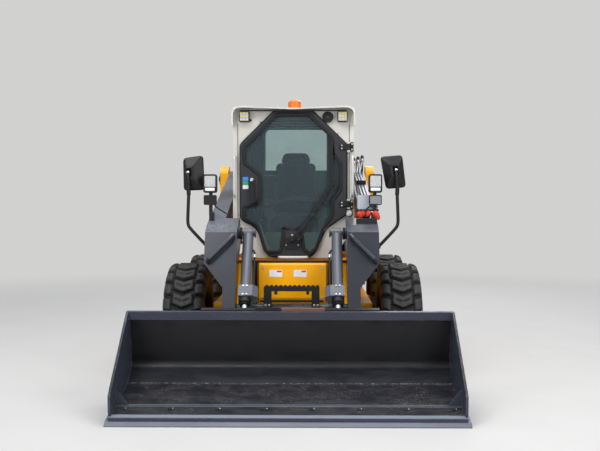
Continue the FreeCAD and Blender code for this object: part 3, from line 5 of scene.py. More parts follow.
import bmesh
import bpy
import numpy as np
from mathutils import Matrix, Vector


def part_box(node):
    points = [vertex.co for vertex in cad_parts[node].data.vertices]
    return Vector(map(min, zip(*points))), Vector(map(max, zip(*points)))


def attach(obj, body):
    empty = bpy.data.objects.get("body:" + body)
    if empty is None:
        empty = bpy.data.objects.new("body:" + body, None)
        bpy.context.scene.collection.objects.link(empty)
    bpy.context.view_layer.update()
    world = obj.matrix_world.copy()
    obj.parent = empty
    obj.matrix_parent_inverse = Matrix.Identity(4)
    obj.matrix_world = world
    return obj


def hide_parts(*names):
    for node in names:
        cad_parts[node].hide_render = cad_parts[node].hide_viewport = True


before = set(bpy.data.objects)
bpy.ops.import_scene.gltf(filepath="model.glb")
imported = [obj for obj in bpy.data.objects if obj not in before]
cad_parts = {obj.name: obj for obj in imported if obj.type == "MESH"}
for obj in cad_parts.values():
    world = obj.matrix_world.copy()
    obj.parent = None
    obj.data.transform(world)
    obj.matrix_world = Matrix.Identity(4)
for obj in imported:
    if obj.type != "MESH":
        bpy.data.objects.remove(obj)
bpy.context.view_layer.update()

# The camera stands where the photograph was taken from, in metres and degrees.
EYE = (0.147, -6.80, 1.244)
LENS = 54.0
LOOK_DOWN = 1.24
LOOK_RIGHTWARD = -0.87

# The sign of x and the name of each side, and the way that the machine faces.
SIDES = ((1, "left"), (-1, "right"))
FORWARD = (0, -1, 0)

# Colours as Blender counts them, and the strength of the sky.
BACKDROP = (0.64, 0.64, 0.635)
SKY = 0.7
SLATE = (0.018, 0.020, 0.031)
# The next colour is a painted sheen: a pale sky tone laid on the upward faces of the dark slate parts,
# standing in for the sky light they catch.
PAINTED_SKY_SHEEN = (0.24, 0.26, 0.30)
DUST = (0.30, 0.28, 0.25)


def middle(node):
    """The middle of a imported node, as an array."""
    low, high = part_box(node)
    return np.array(low + high) / 2


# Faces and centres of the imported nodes, in metres.
DOOR_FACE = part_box("wiper")[1].y
CAB_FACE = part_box("roof_lamps")[1].y
LAMP_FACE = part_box("roof_lamps")[0].y
PANEL_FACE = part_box("front_panel")[0].y
TUB_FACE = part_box("front_panel")[1].y
HEADLAMP_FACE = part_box("headlamps")[0].y
TYRE_LOW, TYRE_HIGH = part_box("tyre_front_left")
_, FRONT_Y, AXLE_Z = middle("rim_front_left")
WHEEL_X = (TYRE_LOW.x + TYRE_HIGH.x) / 2
REAR_Y = middle("rim_rear_left")[1]
TYRE_RADIUS = (TYRE_HIGH.z - TYRE_LOW.z) / 2
TIP_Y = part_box("cutting_edge")[0].y
SHELL_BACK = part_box("engine_shell")[1].y
ARM_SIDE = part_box("loader_arms")[1].x
# The source's own values: y and z of pins, the bucket's tip, and the tilt cylinders' distance out.
ARM_PIN = (FRONT_Y + 1.420, 1.480)
LEAN = math.radians(12.7)
TILT_PIN = np.array((FRONT_Y - 0.270, 1.052))
TILT_EYE = np.array((FRONT_Y - 0.742, 0.451))
TILT_X = 0.307


class Wire:
    """A socket of a node tree, so that shader sums read like ordinary sums."""

    def __init__(self, tree, socket):
        self.tree, self.socket = tree, socket

    def node(self, kind, feeds=(), out=0, **settings):
        """Another node of the same tree; feeds are pairs of input and value or Wire."""
        made = self.tree.nodes.new(kind)
        for name, setting in settings.items():
            setattr(made, name, setting)
        for slot, feed in feeds:
            plug(self.tree, made.inputs[slot], feed)
        return Wire(self.tree, made.outputs[out])

    def maths(self, operation, *others):
        """A Math node on this socket and others."""
        return self.node("ShaderNodeMath", list(enumerate((self,) + others)), operation=operation)

    def __add__(self, other):
        return self.maths("ADD", other)

    def __sub__(self, other):
        return self.maths("SUBTRACT", other)

    def __mul__(self, other):
        return self.maths("MULTIPLY", other)

    def __rsub__(self, other):
        return self.maths("MULTIPLY", -1.0).maths("ADD", other)

    __radd__ = __add__
    __rmul__ = __mul__

    def ramp(self, low, high):
        """Eased step from 0 to 1 between two values."""
        feeds = ((0, self), (1, low), (2, high), (3, 0.0), (4, 1.0))
        return self.node("ShaderNodeMapRange", feeds, interpolation_type="SMOOTHSTEP")

    def line(self, level, width):
        """1 where this is at a level, fading to 0 at a width from it."""
        return 1.0 - (self - level).maths("ABSOLUTE").ramp(0.0006, width)

    def noise(self, scale, detail=3.0, rough=0.5):
        """Fractal noise of this position, about 0 to 1."""
        feeds = (("Vector", self), ("Scale", scale), ("Detail", detail), ("Roughness", rough))
        return self.node("ShaderNodeTexNoise", feeds)

    def scaled(self, x, y, z):
        """This position stretched along each axis."""
        return self.node("ShaderNodeVectorMath", ((0, self), (1, (x, y, z))), operation="MULTIPLY")

    def axis(self, letter):
        """One coordinate of this position."""
        return self.node("ShaderNodeSeparateXYZ", ((0, self),), out="XYZ".index(letter))

    def mix(self, one, other):
        """The first colour where this is 0, the second where it is 1."""
        return self.node("ShaderNodeMix", ((0, self), (6, one), (7, other)), out=2, data_type="RGBA")

    def bump(self, strength, distance, base=None):
        """Surface relief from this height."""
        feeds = (("Strength", strength), ("Distance", distance), ("Height", self))
        return self.node("ShaderNodeBump", feeds + ((("Normal", base),) if base else ()))


def plug(tree, socket, feed):
    """Link a Wire to a socket, or set a plain value or colour on it."""
    if isinstance(feed, Wire):
        tree.links.new(feed.socket, socket)
    elif isinstance(feed, tuple) and len(feed) == 3 and socket.type == "RGBA":
        socket.default_value = feed + (1.0,)
    else:
        socket.default_value = feed


class Finish:
    """A material about to be filled in: its shader, the position on the object and its normal."""

    def __init__(self, name):
        self.material = bpy.data.materials.new(name)
        self.material.use_nodes = True
        self.tree = self.material.node_tree
        self.shader = self.tree.nodes["Principled BSDF"]
        coords = self.tree.nodes.new("ShaderNodeTexCoord")
        self.place = Wire(self.tree, coords.outputs["Object"])
        self.normal = Wire(self.tree, coords.outputs["Normal"])

    def set(self, **inputs):
        """Set or link inputs of the shader, with _ for the spaces in their names."""
        for name, feed in inputs.items():
            plug(self.tree, self.shader.inputs[name.replace("_", " ")], feed)
        return self.material

    def rounded(self, radius):
        """Normals that round the edges by a radius."""
        return self.place.node("ShaderNodeBevel", (("Radius", radius),), samples=4)

    def edges(self, radius):
        """0 on the flat, up to 1 on the edges."""
        flat = self.place.node("ShaderNodeNewGeometry", out="Normal")
        same = self.place.node("ShaderNodeVectorMath", ((0, self.rounded(radius)), (1, flat)), out="Value",
                               operation="DOT_PRODUCT")
        return (1.0 - same).ramp(0.02, 0.25)

    def peel(self):
        """Normals of a sprayed coat: orange peel over softly rounded edges."""
        return self.place.noise(420.0, 1.0).bump(0.05, 0.0006, self.rounded(0.0022))

    def surface(self, wire):
        """Let a mixed shader be what shows."""
        output = [n for n in self.tree.nodes if n.type == "OUTPUT_MATERIAL"][0]
        self.tree.links.new(wire.socket, output.inputs["Surface"])
        return self.material


def shade(colour, share):
    """A colour made darker or lighter by a share."""
    return tuple(min(1.0, part * share) for part in colour)


def clouded(name, colour):
    """A new finish, its slow cloud, and its colour under that cloud."""
    f = Finish(name)
    cloud = f.place.noise(3.1, 4.0)
    return f, cloud, cloud.ramp(0.3, 0.7).mix(shade(colour, 0.92), shade(colour, 1.08))


def paint(name, colour, rough=0.36, coat=0.1, dust=0.2, wear=0.0, gloss=0.35, dust_and_sheen_colour=DUST, wheel_well_shade=0.0):
    """Sprayed coat: cloudy tone, orange peel, a film on what faces up, rubbed edges; the film is real dust
    in the dust colour and a painted sky sheen in the sheen colour.

    The last argument paints shade: it darkens the tub's feet behind the front wheels, where they lie in
    shade."""
    f, cloud, tone = clouded(name, colour)
    if wheel_well_shade:
        x, y, z = (f.place.axis(letter) for letter in "XYZ")
        x = x.maths("ABSOLUTE")
        # Painted shade: the low, outboard feet of the tub behind the front wheels are darkened to a deep
        # brown, as if in shadow.
        foot = (1.0 - z.ramp(0.50, 0.66)) * x.ramp(0.40, 0.46) * (1.0 - x.ramp(0.61, 0.64))
        tone = (foot * (1.0 - y.ramp(-0.15, 0.10)) * wheel_well_shade).mix(tone, (0.055, 0.028, 0.006))
    speck = f.place.noise(70.0, 2.0).ramp(0.3, 0.7)
    # The film on upward faces is real dust with the dust colour; with the sheen colour it is a painted
    # sheen of sky light on what faces up.
    film = f.normal.axis("Z").ramp(0.25, 1.0) * cloud.ramp(0.25, 0.75) * (0.35 + 0.65 * speck) * dust
    tone = film.mix(tone, dust_and_sheen_colour)
    if wear:
        rubbed = f.edges(0.006) * f.place.noise(38.0, 4.0).ramp(0.45, 0.62) * wear
        tone = rubbed.mix(tone, (0.22, 0.22, 0.22))
    return f.set(Base_Color=tone, Roughness=rough + 0.25 * film + 0.06 * cloud, Coat_Weight=coat,
                 Coat_Roughness=0.12, Specular_IOR_Level=gloss, Normal=f.peel())


def bucket_coat(name, colour, painted_inside_shade):
    """The bucket's paint: scraped inside under painted shade that goes near black on the back wall, specks
    of dirt on the floor, a painted sky highlight on the lip.

    Heights z are those of the bucket as it lies tipped on the ground: its rim at 0.53 m, the foot of its
    back wall at 0.16 m, the joint of floor and slope at 0.151 m, the edge's step at 0.081 m."""
    f, _, tone = clouded(name, colour)
    y, z = f.place.axis("Y"), f.place.axis("Z")
    across = f.place.axis("X").maths("ABSOLUTE")
    inside = (1.0 - z.ramp(0.530, 0.536)) * y.ramp(-1.745, -1.735)
    front = (f.normal.axis("Y") * -1.0).ramp(0.4, 0.8)
    floor = f.normal.axis("Z").ramp(0.45, 0.8)
    side = f.normal.axis("X").maths("ABSOLUTE").ramp(0.6, 0.9) * (1.0 - across.ramp(1.0, 1.005))
    scrape = f.place.scaled(0.8, 2.0, 2.0).noise(9.0, 5.0, 0.6).ramp(0.35, 0.75)
    # Painted shade: the inside floor and walls take dark tones of the inside shade colour, varied by real
    # scrapes.
    walls = inside * (floor + side).maths("MINIMUM", 1.0)
    shown = walls.mix(tone, scrape.mix(shade(painted_inside_shade, 2.4), shade(painted_inside_shade, 3.4)))
    # Painted shadow: the back wall, facing forward under the overhanging lip, takes the near-black shade
    # colour itself.
    shown = (inside * front * z.ramp(0.16, 0.20)).mix(shown, painted_inside_shade)
    # Painted highlight: a pale bluish sky highlight on the upward faces of the lip band and, fainter, along
    # the edge's step.
    lip = floor * z.ramp(0.0470, 0.0485) * (1.0 - z.ramp(0.0555, 0.0570))
    lip = lip + floor * z.line(0.0810, 0.0018) * 0.45
    shown = lip.maths("MINIMUM", 1.0).mix(shown, (0.17, 0.20, 0.25))
    specks = f.place.noise(170.0, 2.0, 0.7).ramp(0.57, 0.68) * f.place.noise(7.0, 3.0).ramp(0.36, 0.55)
    specks = specks * (1.0 - z.ramp(0.145, 0.155))
    seam = z.line(0.151, 0.0022) * f.place.noise(40.0, 4.0).ramp(0.46, 0.60) * 0.5
    dirt = inside * floor * (specks * 0.6 + seam).maths("MINIMUM", 1.0)
    shown = dirt.mix(shown, (0.32, 0.30, 0.26))
    worn = f.edges(0.007) * f.place.noise(38.0, 4.0).ramp(0.40, 0.6) * 0.6
    return f.set(Base_Color=worn.mix(shown, (0.20, 0.21, 0.24)), Roughness=0.34 + 0.25 * scrape,
                 Specular_IOR_Level=0.4, Normal=f.peel())


def rubber(name, colour=(0.012, 0.012, 0.013), dust=0.25, lugs=False):
    """Rubber: dull and finely scuffed; on tyres the tread's hollows get painted shade, near black, and its
    lugs are worn pale.
    """
    f = Finish(name)
    scuff = f.place.noise(55.0, 5.0, 0.6)
    film = f.place.noise(6.0, 3.0).ramp(0.4, 0.75) * scuff.ramp(0.4, 0.62) * dust
    tone = film.mix(scuff.ramp(0.3, 0.75).mix(shade(colour, 0.7), shade(colour, 1.7)), (0.10, 0.09, 0.08))
    if lugs:
        height = f.place.node("ShaderNodeAttribute", attribute_name="lug", out="Fac")
        worn = (scuff * 0.6).mix(tone, (0.055, 0.054, 0.056))
        # Painted shade: the hollows between the tread's lugs go near black, darker than the rubber.
        tone = height.ramp(0.15, 0.95).mix((0.002, 0.002, 0.002), worn)
    return f.set(Base_Color=tone, Roughness=0.50 + 0.3 * scuff, Specular_IOR_Level=0.35,
                 Normal=scuff.bump(0.35, 0.0012))


def plastic(name, colour, rough=0.42, grain=0.2, gloss=0.3):
    """Moulded plastic with a fine leather grain."""
    f = Finish(name)
    cells = f.place.node("ShaderNodeTexVoronoi", (("Vector", f.place), ("Scale", 900.0)))
    cloud = f.place.noise(9.0, 3.0)
    tone = cloud.mix(shade(colour, 0.85), shade(colour, 1.15))
    return f.set(Base_Color=tone, Roughness=rough + 0.12 * cloud, Specular_IOR_Level=gloss,
                 Normal=cells.bump(grain, 0.0004, f.rounded(0.0016)))


def steel(name, colour=(0.55, 0.55, 0.56), rough=0.28, grain=(4.0, 4.0, 300.0)):
    """Bare steel with drawn lines along one axis and slight staining."""
    f = Finish(name)
    lines = f.place.scaled(*grain).noise(6.0, 3.0)
    stain = f.place.noise(20.0, 3.0)
    tone = stain.ramp(0.4, 0.75).mix(colour, shade(colour, 0.72))
    return f.set(Base_Color=tone, Metallic=1.0, Roughness=rough + 0.14 * lines + 0.1 * stain,
                 Normal=lines.bump(0.06, 0.0005, f.rounded(0.0012)))


def glazing(name, tint, film, share=0.10):
    """Tinted glass: light passes tinted, and the sheen grows at a slant."""
    f = Finish(name)
    smear = f.place.noise(5.0, 4.0).ramp(0.4, 0.8)
    f.set(Base_Color=film, Roughness=0.02)
    clear = f.place.node("ShaderNodeBsdfTransparent", ((0, tint),))
    rim = f.place.node("ShaderNodeFresnel", (("IOR", 1.45),))
    parts = ((0, share + rim * 0.8 + 0.04 * smear), (1, clear), (2, Wire(f.tree, f.shader.outputs[0])))
    return f.surface(clear.node("ShaderNodeMixShader", parts))


def cloth(name, colour):
    """Woven seat fabric."""
    f = Finish(name)
    feeds = (("Vector", f.place), ("Scale", 260.0), ("Distortion", 0.6))
    warp, weft = (f.place.node("ShaderNodeTexWave", feeds, bands_direction=way) for way in "XZ")
    tone = f.place.noise(14.0, 3.0).mix(shade(colour, 0.7), shade(colour, 1.5))
    return f.set(Base_Color=tone, Roughness=0.9, Sheen_Weight=0.15, Normal=(warp * weft).bump(0.4, 0.0006))


def lens(name, colour, cells, dark=0.45):
    """Lamp lens: clear cover over bright round cups."""
    f = Finish(name)
    cup = f.place.scaled(1.0, 0.2, 1.0)
    cup = cup.node("ShaderNodeTexVoronoi", (("Scale", cells), ("Randomness", 0.55)))
    tone = cup.ramp(0.25, 0.75).mix(colour, shade(colour, dark))
    return f.set(Base_Color=tone, Roughness=0.16, Coat_Weight=0.8, Coat_Roughness=0.03,
                 Normal=cup.bump(0.6, 0.003))


def glow(name, colour, rough=0.15, coat=0.5):
    """Clear coloured plastic of a beacon or a cap."""
    f = Finish(name)
    ribs = f.place.noise(30.0, 2.0)
    tone = ribs.mix(shade(colour, 0.8), colour)
    return f.set(Base_Color=tone, Roughness=rough + 0.1 * ribs, Coat_Weight=coat, Coat_Roughness=0.05,
                 Normal=ribs.bump(0.1, 0.0008, f.rounded(0.002)))


looks = {
    # The slate, bracket, cylinder and edge coats take the sheen colour, so their upward film is a painted
    # sky sheen.
    "slate": paint("slate_coat", SLATE, 0.30, 0.2, dust=0.75, wear=0.2, dust_and_sheen_colour=PAINTED_SKY_SHEEN),
    "pale_slate": paint("bracket_coat", (0.46, 0.49, 0.56), 0.35, 0.2, dust=0.1, dust_and_sheen_colour=PAINTED_SKY_SHEEN),
    "cylinder": paint("cylinder_coat", (0.085, 0.094, 0.118), 0.28, 0.3, dust=0.2, dust_and_sheen_colour=PAINTED_SKY_SHEEN),
    "edge": paint("edge_coat", (0.105, 0.118, 0.145), 0.32, 0.1, dust=0.1, wear=0.5, dust_and_sheen_colour=PAINTED_SKY_SHEEN),
    # The bucket's last colour is the near-black painted shade of its inside.
    "bucket": bucket_coat("bucket_coat", shade(SLATE, 2.0), (0.0038, 0.0040, 0.0058)),
    # The yellow coat's last argument is painted shade on the tub's feet behind the front wheels.
    "yellow": paint("yellow_coat", (1.0, 0.43, 0.003), 0.30, 0.15, dust=0.03, gloss=0.25, wheel_well_shade=0.85),
    "cab": paint("cab_coat", (0.62, 0.605, 0.555), 0.34, 0.25, dust=0.05),
    "charcoal": paint("charcoal_coat", (0.025, 0.026, 0.031), 0.40, 0.0, dust=0.04),
    "black": paint("black_coat", (0.009, 0.009, 0.010), 0.42, 0.0, dust=0.08, gloss=0.3, wear=0.1),
    "tyre": rubber("tyre_rubber", lugs=True),
    "seal": rubber("seal_rubber", (0.007, 0.007, 0.008), 0.03),
    "chrome": steel("chromed_rod", (0.86, 0.86, 0.87), 0.08, (120.0, 8.0, 8.0)),
    "steel": steel("bright_steel", (0.62, 0.62, 0.63)),
    "rust": paint("rubbed_edge", (0.16, 0.075, 0.045), 0.6, 0.0),
    "iron": paint("engine_coat", (0.05, 0.05, 0.055), 0.55, 0.0, dust=0.3),
    "glass": glazing("tinted_glass", (0.86, 0.95, 0.93), (0.13, 0.175, 0.20), 0.20),
    "pane": glazing("clear_pane", (0.90, 0.95, 0.94), (0.05, 0.07, 0.07), 0.03),
    "lining": plastic("head_lining", (0.30, 0.31, 0.31), 0.6),
    "mirror": plastic("mirror_shell", (0.009, 0.009, 0.010), 0.32, 0.1, 0.35),
    "tubing": steel("plated_tube", (0.40, 0.41, 0.44), 0.35, (8.0, 200.0, 8.0)),
    "plastic": plastic("black_plastic", (0.010, 0.010, 0.011)),
    "grey": plastic("grey_plastic", (0.060, 0.066, 0.070), 0.5),
    "seat": cloth("seat_fabric", (0.016, 0.018, 0.020)),
    "lens": lens("lamp_lens", (0.86, 0.87, 0.87), 48.0, 0.3),
    "grey_lens": lens("indicator_lens", (0.36, 0.38, 0.42), 60.0, 0.35),
    "led": lens("led_lens", (0.50, 0.54, 0.60), 60.0, 0.8),
    "diode": glow("led_diode", (0.90, 0.68, 0.10), 0.3),
    "orange": glow("beacon_orange", (0.88, 0.185, 0.002), 0.25, 0.1),
    "red": glow("cap_red", (0.62, 0.030, 0.003), 0.35, 0.1),
    "red_lens": lens("tail_lens", (0.50, 0.012, 0.010), 60.0),
    "amber_lens": lens("turn_lens", (0.85, 0.25, 0.02), 60.0),
    "white": plastic("white_plastic", (0.78, 0.78, 0.76), 0.35, 0.05),
    "mark_red": plastic("label_red", (0.62, 0.03, 0.02), 0.4, 0.02),
    "mark_green": plastic("label_green", (0.02, 0.34, 0.16), 0.4, 0.02),
    "mark_blue": plastic("label_blue", (0.05, 0.22, 0.60), 0.4, 0.02),
}

# For each finish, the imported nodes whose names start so.
NODE_LOOKS = {
    "yellow": "chassis_tub front_panel arm_towers engine_shell engine_hood rim",
    "slate": "loader_arms grab_bars",
    "cylinder": "tilt_barrel lift_barrel",
    "edge": "cutting_edge",
    "pale_slate": "aux_bracket",
    "bucket": "bucket",
    "cab": "cab",
    "charcoal": "door_frame",
    "black": "tailgate rear_bumper step door_handle coupler",
    "seal": "wiper",
    "plastic": "control_levers mirrors headlamps roof_lamps",
    "tyre": "tyre",
    "chrome": "tilt_rod lift_rod",
    "tubing": "aux_tubes",
    "steel": "exhaust_stack",
    "iron": "engine_block",
    "glass": "door_glass",
    "pane": "side_windows rear_window",
    "seat": "seat",
    "orange": "beacon",
    "red": "aux_caps",
    "red_lens": "tail_lamps",
}
for look, stems in NODE_LOOKS.items():
    for node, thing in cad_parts.items():
        if node.startswith(tuple(stems.split())):
            thing.data.materials.clear()
            thing.data.materials.append(looks[look])


def add(name, points, faces, look, body, smooth=True):
    """A mesh object from arrays of points and faces, its faces turned outwards, riding on a body."""
    mesh = bpy.data.meshes.new(name)
    points = np.asarray(points, float).reshape(-1, 3)
    mesh.from_pydata(points.tolist(), [], [list(map(int, face)) for face in faces])
    shape = bmesh.new()
    shape.from_mesh(mesh)
    bmesh.ops.recalc_face_normals(shape, faces=shape.faces)
    shape.to_mesh(mesh)
    shape.free()
    mesh.polygons.foreach_set("use_smooth", [smooth] * len(mesh.polygons))
    thing = bpy.data.objects.new(name, mesh)
    bpy.context.scene.collection.objects.link(thing)
    mesh.materials.append(looks[look])
    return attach(thing, body)


def grid_faces(rows, columns, wrap_rows=False, wrap_columns=False):
    """Quads that join a grid of points, closed in either direction if asked."""
    i, j = np.indices((rows - (not wrap_rows), columns - (not wrap_columns)))
    right, down = (j + 1) % columns, (i + 1) % rows
    corners = (i * columns + j, i * columns + right, down * columns + right, down * columns + j)
    return np.stack([corner.ravel() for corner in corners], axis=1)


def capped_faces(rows, columns):
    """Faces of a grid whose rows are closed rings, with a lid on the first and the last ring."""
    sides = grid_faces(rows, columns, wrap_columns=True).tolist()
    ring = np.arange(columns)
    return sides + [ring.tolist(), (ring + (rows - 1) * columns).tolist()]


def soften(thing, width):
    """Bevel the sharp edges of a piece."""
    bevel = thing.modifiers.new("soft", "BEVEL")
    bevel.width, bevel.segments, bevel.limit_method = width, 2, "ANGLE"
    bevel.harden_normals = True
    return thing


def prism(name, outline, low, high, axis, look, body, bevel=0.0):
    """An outline in the two other axes, in order, pushed from low to high along an axis."""
    outline, place = np.asarray(outline, float), "XYZ".index(axis)
    layers = [np.insert(outline, place, level, axis=1) for level in (low, high)]
    thing = add(name, np.concatenate(layers), capped_faces(2, len(outline)), look, body, False)
    return soften(thing, bevel) if bevel else thing


def slab(name, low, high, look, body="chassis", bevel=0.002):
    """A block between two corners with softened edges."""
    outline = [(low[0], low[1]), (high[0], low[1]), (high[0], high[1]), (low[0], high[1])]
    return prism(name, outline, low[2], high[2], "Z", look, body, bevel)


def side_slab(name, side, x, y, z, look, body="chassis", bevel=0.002):
    """A block on one side of the machine, from pairs of x, counted outwards, of y and of z."""
    near, far = sorted((side * x[0], side * x[1]))
    return slab(name, (near, y[0], z[0]), (far, y[1], z[1]), look, body, bevel)


def tube(name, points, radius, look, body="chassis"):
    """A round bar or pipe along a smooth line through the points."""
    line = bpy.data.curves.new(name, "CURVE")
    line.dimensions, line.bevel_depth, line.bevel_resolution, line.resolution_u = "3D", radius, 3, 8
    line.use_fill_caps = True
    run = line.splines.new("NURBS")
    run.points.add(len(points) - 1)
    run.points.foreach_set("co", np.insert(np.asarray(points, float), 3, 1.0, axis=1).ravel())
    run.order_u = 3
    run.use_endpoint_u = True
    line.materials.append(looks[look])
    thing = bpy.data.objects.new(name, line)
    bpy.context.scene.collection.objects.link(thing)
    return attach(thing, body)


def lathe(name, profile, centre, axis, look, body="chassis", sides=32):
    """Turn a profile of (along, radius) pairs about an axis through a centre."""
    along, radius = np.asarray(profile, float).T
    turn = np.linspace(0, 2 * np.pi, sides, endpoint=False)
    place = "XYZ".index(axis)
    points = np.empty((len(along), sides, 3))
    points[..., place] = along[:, None]
    points[..., (place + 1) % 3] = radius[:, None] * np.cos(turn)
    points[..., (place + 2) % 3] = radius[:, None] * np.sin(turn)
    return add(name, points + np.asarray(centre), capped_faces(len(along), sides), look, body)


def side_cap(name, side, profile, centre, body="chassis", sides=32):
    """A black cap turned about X on one side of the machine, its profile counted outwards."""
    return lathe(name, [(side * out, radius) for out, radius in profile], centre, "X", "black", body, sides)


def spokes(way, hint, sides):
    """A unit direction, and unit vectors square to it in a full turn that starts square to a hint."""
    way = np.asarray(way, float) / np.linalg.norm(way)
    one = np.cross(way, hint)
    one /= np.linalg.norm(one)
    turn = np.arange(sides) * 2 * np.pi / sides
    return way, np.cos(turn)[:, None] * one + np.sin(turn)[:, None] * np.cross(way, one)


def ring(name, centre, way, radius, length, look, body, sides=28):
    """A short round collar with bevelled rims about a direction, from a centre onwards."""
    way, spoke = spokes(way, (1.0, 0.0, 0.0), sides)
    rims = ((0.0, 0.93), (0.06, 1.0), (0.94, 1.0), (1.0, 0.93))
    points = [np.asarray(centre) + a * length * way + r * radius * spoke for a, r in rims]
    return add(name, points, capped_faces(len(rims), sides), look, body, sides < 10)


def studs(name, places, way, look, body="chassis", radius=0.009, height=0.007, washer=1.5, sides=6):
    """Heads on washers at many places, all standing out along one direction.

    Each head is rings of sides points about the direction, from the washer's foot to the crown."""
    way, spoke = spokes(way, (0.31, 0.74, 0.59), sides)
    rings = np.array(((0.0, washer), (0.18, washer), (0.18, 1.0), (0.85, 1.0), (1.0, 0.84), (1.0, 0.05)))
    head = rings[:, 1, None, None] * radius * spoke + rings[:, 0, None, None] * height * way
    points = head + np.asarray(places, float).reshape(-1, 1, 1, 3)
    starts = np.arange(len(points)) * len(rings) * sides
    faces = grid_faces(len(rings), sides, wrap_columns=True) + starts[:, None, None]
    return add(name, points, faces.reshape(-1, 4), look, body, False)


def bolt_circle(centre, radius, count, start=0.0):
    """Places in a ring about a centre, in the plane of the machine's side."""
    turn = start + np.arange(count) * 2 * np.pi / count
    return np.asarray(centre) + radius * np.stack([0 * turn, np.cos(turn), np.sin(turn)], axis=1)


def both(points):
    """Places on the left and the same ones on the right."""
    left = np.asarray(points, float).reshape(-1, 3)
    return np.concatenate([left, left * (-1, 1, 1)])


def rounded_loop(rows, steps=7):
    """A closed outline from corners x, z and radius in millimetres, in metres.

    Each corner is (1 - t)^2 * start + 2t(1 - t) * corner + t^2 * end, from one side to the other."""
    rows = np.asarray(rows, float) / 1000
    spot, reach = rows[:, :2], 0.8 * np.maximum(rows[:, 2], 0.004)
    ends = []
    for step in (1, -1):
        run = np.roll(spot, step, axis=0) - spot
        length = np.linalg.norm(run, axis=1)
        ends.append((spot + run * (np.minimum(reach, 0.45 * length) / length)[:, None])[:, None])
    t = np.linspace(0, 1, steps)[None, :, None]
    return ((1 - t) ** 2 * ends[0] + 2 * t * (1 - t) * spot[:, None] + t ** 2 * ends[1]).reshape(-1, 2)


def outward(loop):
    """Unit normals of a closed outline, pointing away from its inside."""
    run = np.roll(loop, -1, axis=0) - np.roll(loop, 1, axis=0)
    run /= np.linalg.norm(run, axis=1)[:, None]
    area = np.sum(loop[:, 0] * np.roll(loop[:, 1], -1) - loop[:, 1] * np.roll(loop[:, 0], -1))
    return np.stack([run[:, 1], -run[:, 0]], axis=1) * np.sign(area)


def band(name, loop, section, face, look, body):
    """A seal along a closed outline on a plane of constant y.

    section is pairs of distance outwards from the outline and distance in front of the face."""
    section = np.asarray(section, float)
    flat = loop[:, None] + outward(loop)[:, None] * section[None, :, :1]
    y = np.broadcast_to(face - section[None, :, 1], flat.shape[:2])
    points = np.stack([flat[..., 0], y, flat[..., 1]], axis=2)
    return add(name, points, grid_faces(len(loop), len(section), True, True), look, body)


def tipped(back, up, x=0.0):
    """A point of the tipped bucket, from its place behind the tip and above the bucket's floor."""
    c, s = math.cos(LEAN), math.sin(LEAN)
    return (x, TIP_Y + back * c - up * s, up * c + back * s)


def on_barrel(side, along, out, across):
    """A point of a tilt cylinder: along it from its upper pin, out of its front, and outwards."""
    run = (TILT_EYE - TILT_PIN) / np.linalg.norm(TILT_EYE - TILT_PIN)
    y, z = TILT_PIN + run * along + np.array((run[1], -run[0])) * out
    return (side * (TILT_X + across), y, z)


def make_tyre(corner, side, centre):
    """Tyre as one grid: an outline across, raised where a tread block stands.

    Around, u is the way along the tread. A middle row of blocks and a shoulder row, half a pitch
    apart, both lean with |x|, so that they read as a V. A block stands where its distance from the
    nearest row centre, |(u + lean * |x|) mod pitch|, is less than half its length."""
    pitches, around, lug, lean = 22, 968, 0.028, 0.46
    half_length, half_width = 0.041, 0.070
    shoulder_half_length, shoulder_start = 0.039, 0.083
    sipe_at, sipe_half_width = 0.004, 0.0035
    # Across, drop below the foot of the blocks, and how much of their height stands there.
    half = np.array(((0.0, 0.0, 1.0), (0.040, 0.0, 1.0), (0.080, 0.001, 1.0), (0.108, 0.006, 1.0),
                     (0.128, 0.018, 0.95), (0.139, 0.040, 0.7), (0.144, 0.062, 0.3), (0.145, 0.080, 0.0),
                     (0.139, 0.13, 0.0), (0.120, 0.165, 0.0), (0.102, 0.178, 0.0)))
    steps = np.linspace(0, len(half) - 1, 46)
    half = np.stack([np.interp(steps, np.arange(len(half)), column) for column in half.T], axis=1)
    x, drop, share = np.concatenate([half[::-1] * (-1, 1, 1), half[1:]]).T
    off = np.abs(x)
    turn = np.linspace(0, 2 * np.pi, around, endpoint=False)[:, None]
    pitch = 2 * np.pi * TYRE_RADIUS / pitches
    along = turn * TYRE_RADIUS + lean * off
    near = np.abs((along + pitch / 2) % pitch - pitch / 2)
    far = np.abs(along % pitch - pitch / 2)
    sipe = blocks(sipe_half_width - np.abs(near - sipe_at)) * (np.abs(off - 0.030) < 0.022)
    middle_block = blocks(half_length - near) * blocks(half_width - off) * (1 - 0.4 * sipe)
    shoulder = blocks(shoulder_half_length - far) * blocks(off - shoulder_start)
    rise = np.maximum(middle_block, shoulder) * (share > 0)
    reach = np.minimum(TYRE_RADIUS - lug - drop + lug * share * rise, TYRE_RADIUS)
    points = np.stack([np.broadcast_to(centre[0] + side * x, reach.shape),
                       centre[1] + reach * np.sin(turn), centre[2] - reach * np.cos(turn)], axis=2)
    faces = grid_faces(around, len(x), wrap_rows=True)
    tyre = add("tread_" + corner, points, faces, "tyre", "wheel_" + corner)
    worn = tyre.data.attributes.new("lug", "FLOAT", "POINT")
    worn.data.foreach_set("value", np.where(share > 0.2, rise, 0.55).ravel())
    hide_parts("tyre_" + corner)


def blocks(inside):
    """1 inside a block, 0 outside, with an eased edge 6 mm wide."""
    step = np.clip(0.5 + inside / 0.006, 0, 1)
    return step * step * (3 - 2 * step)


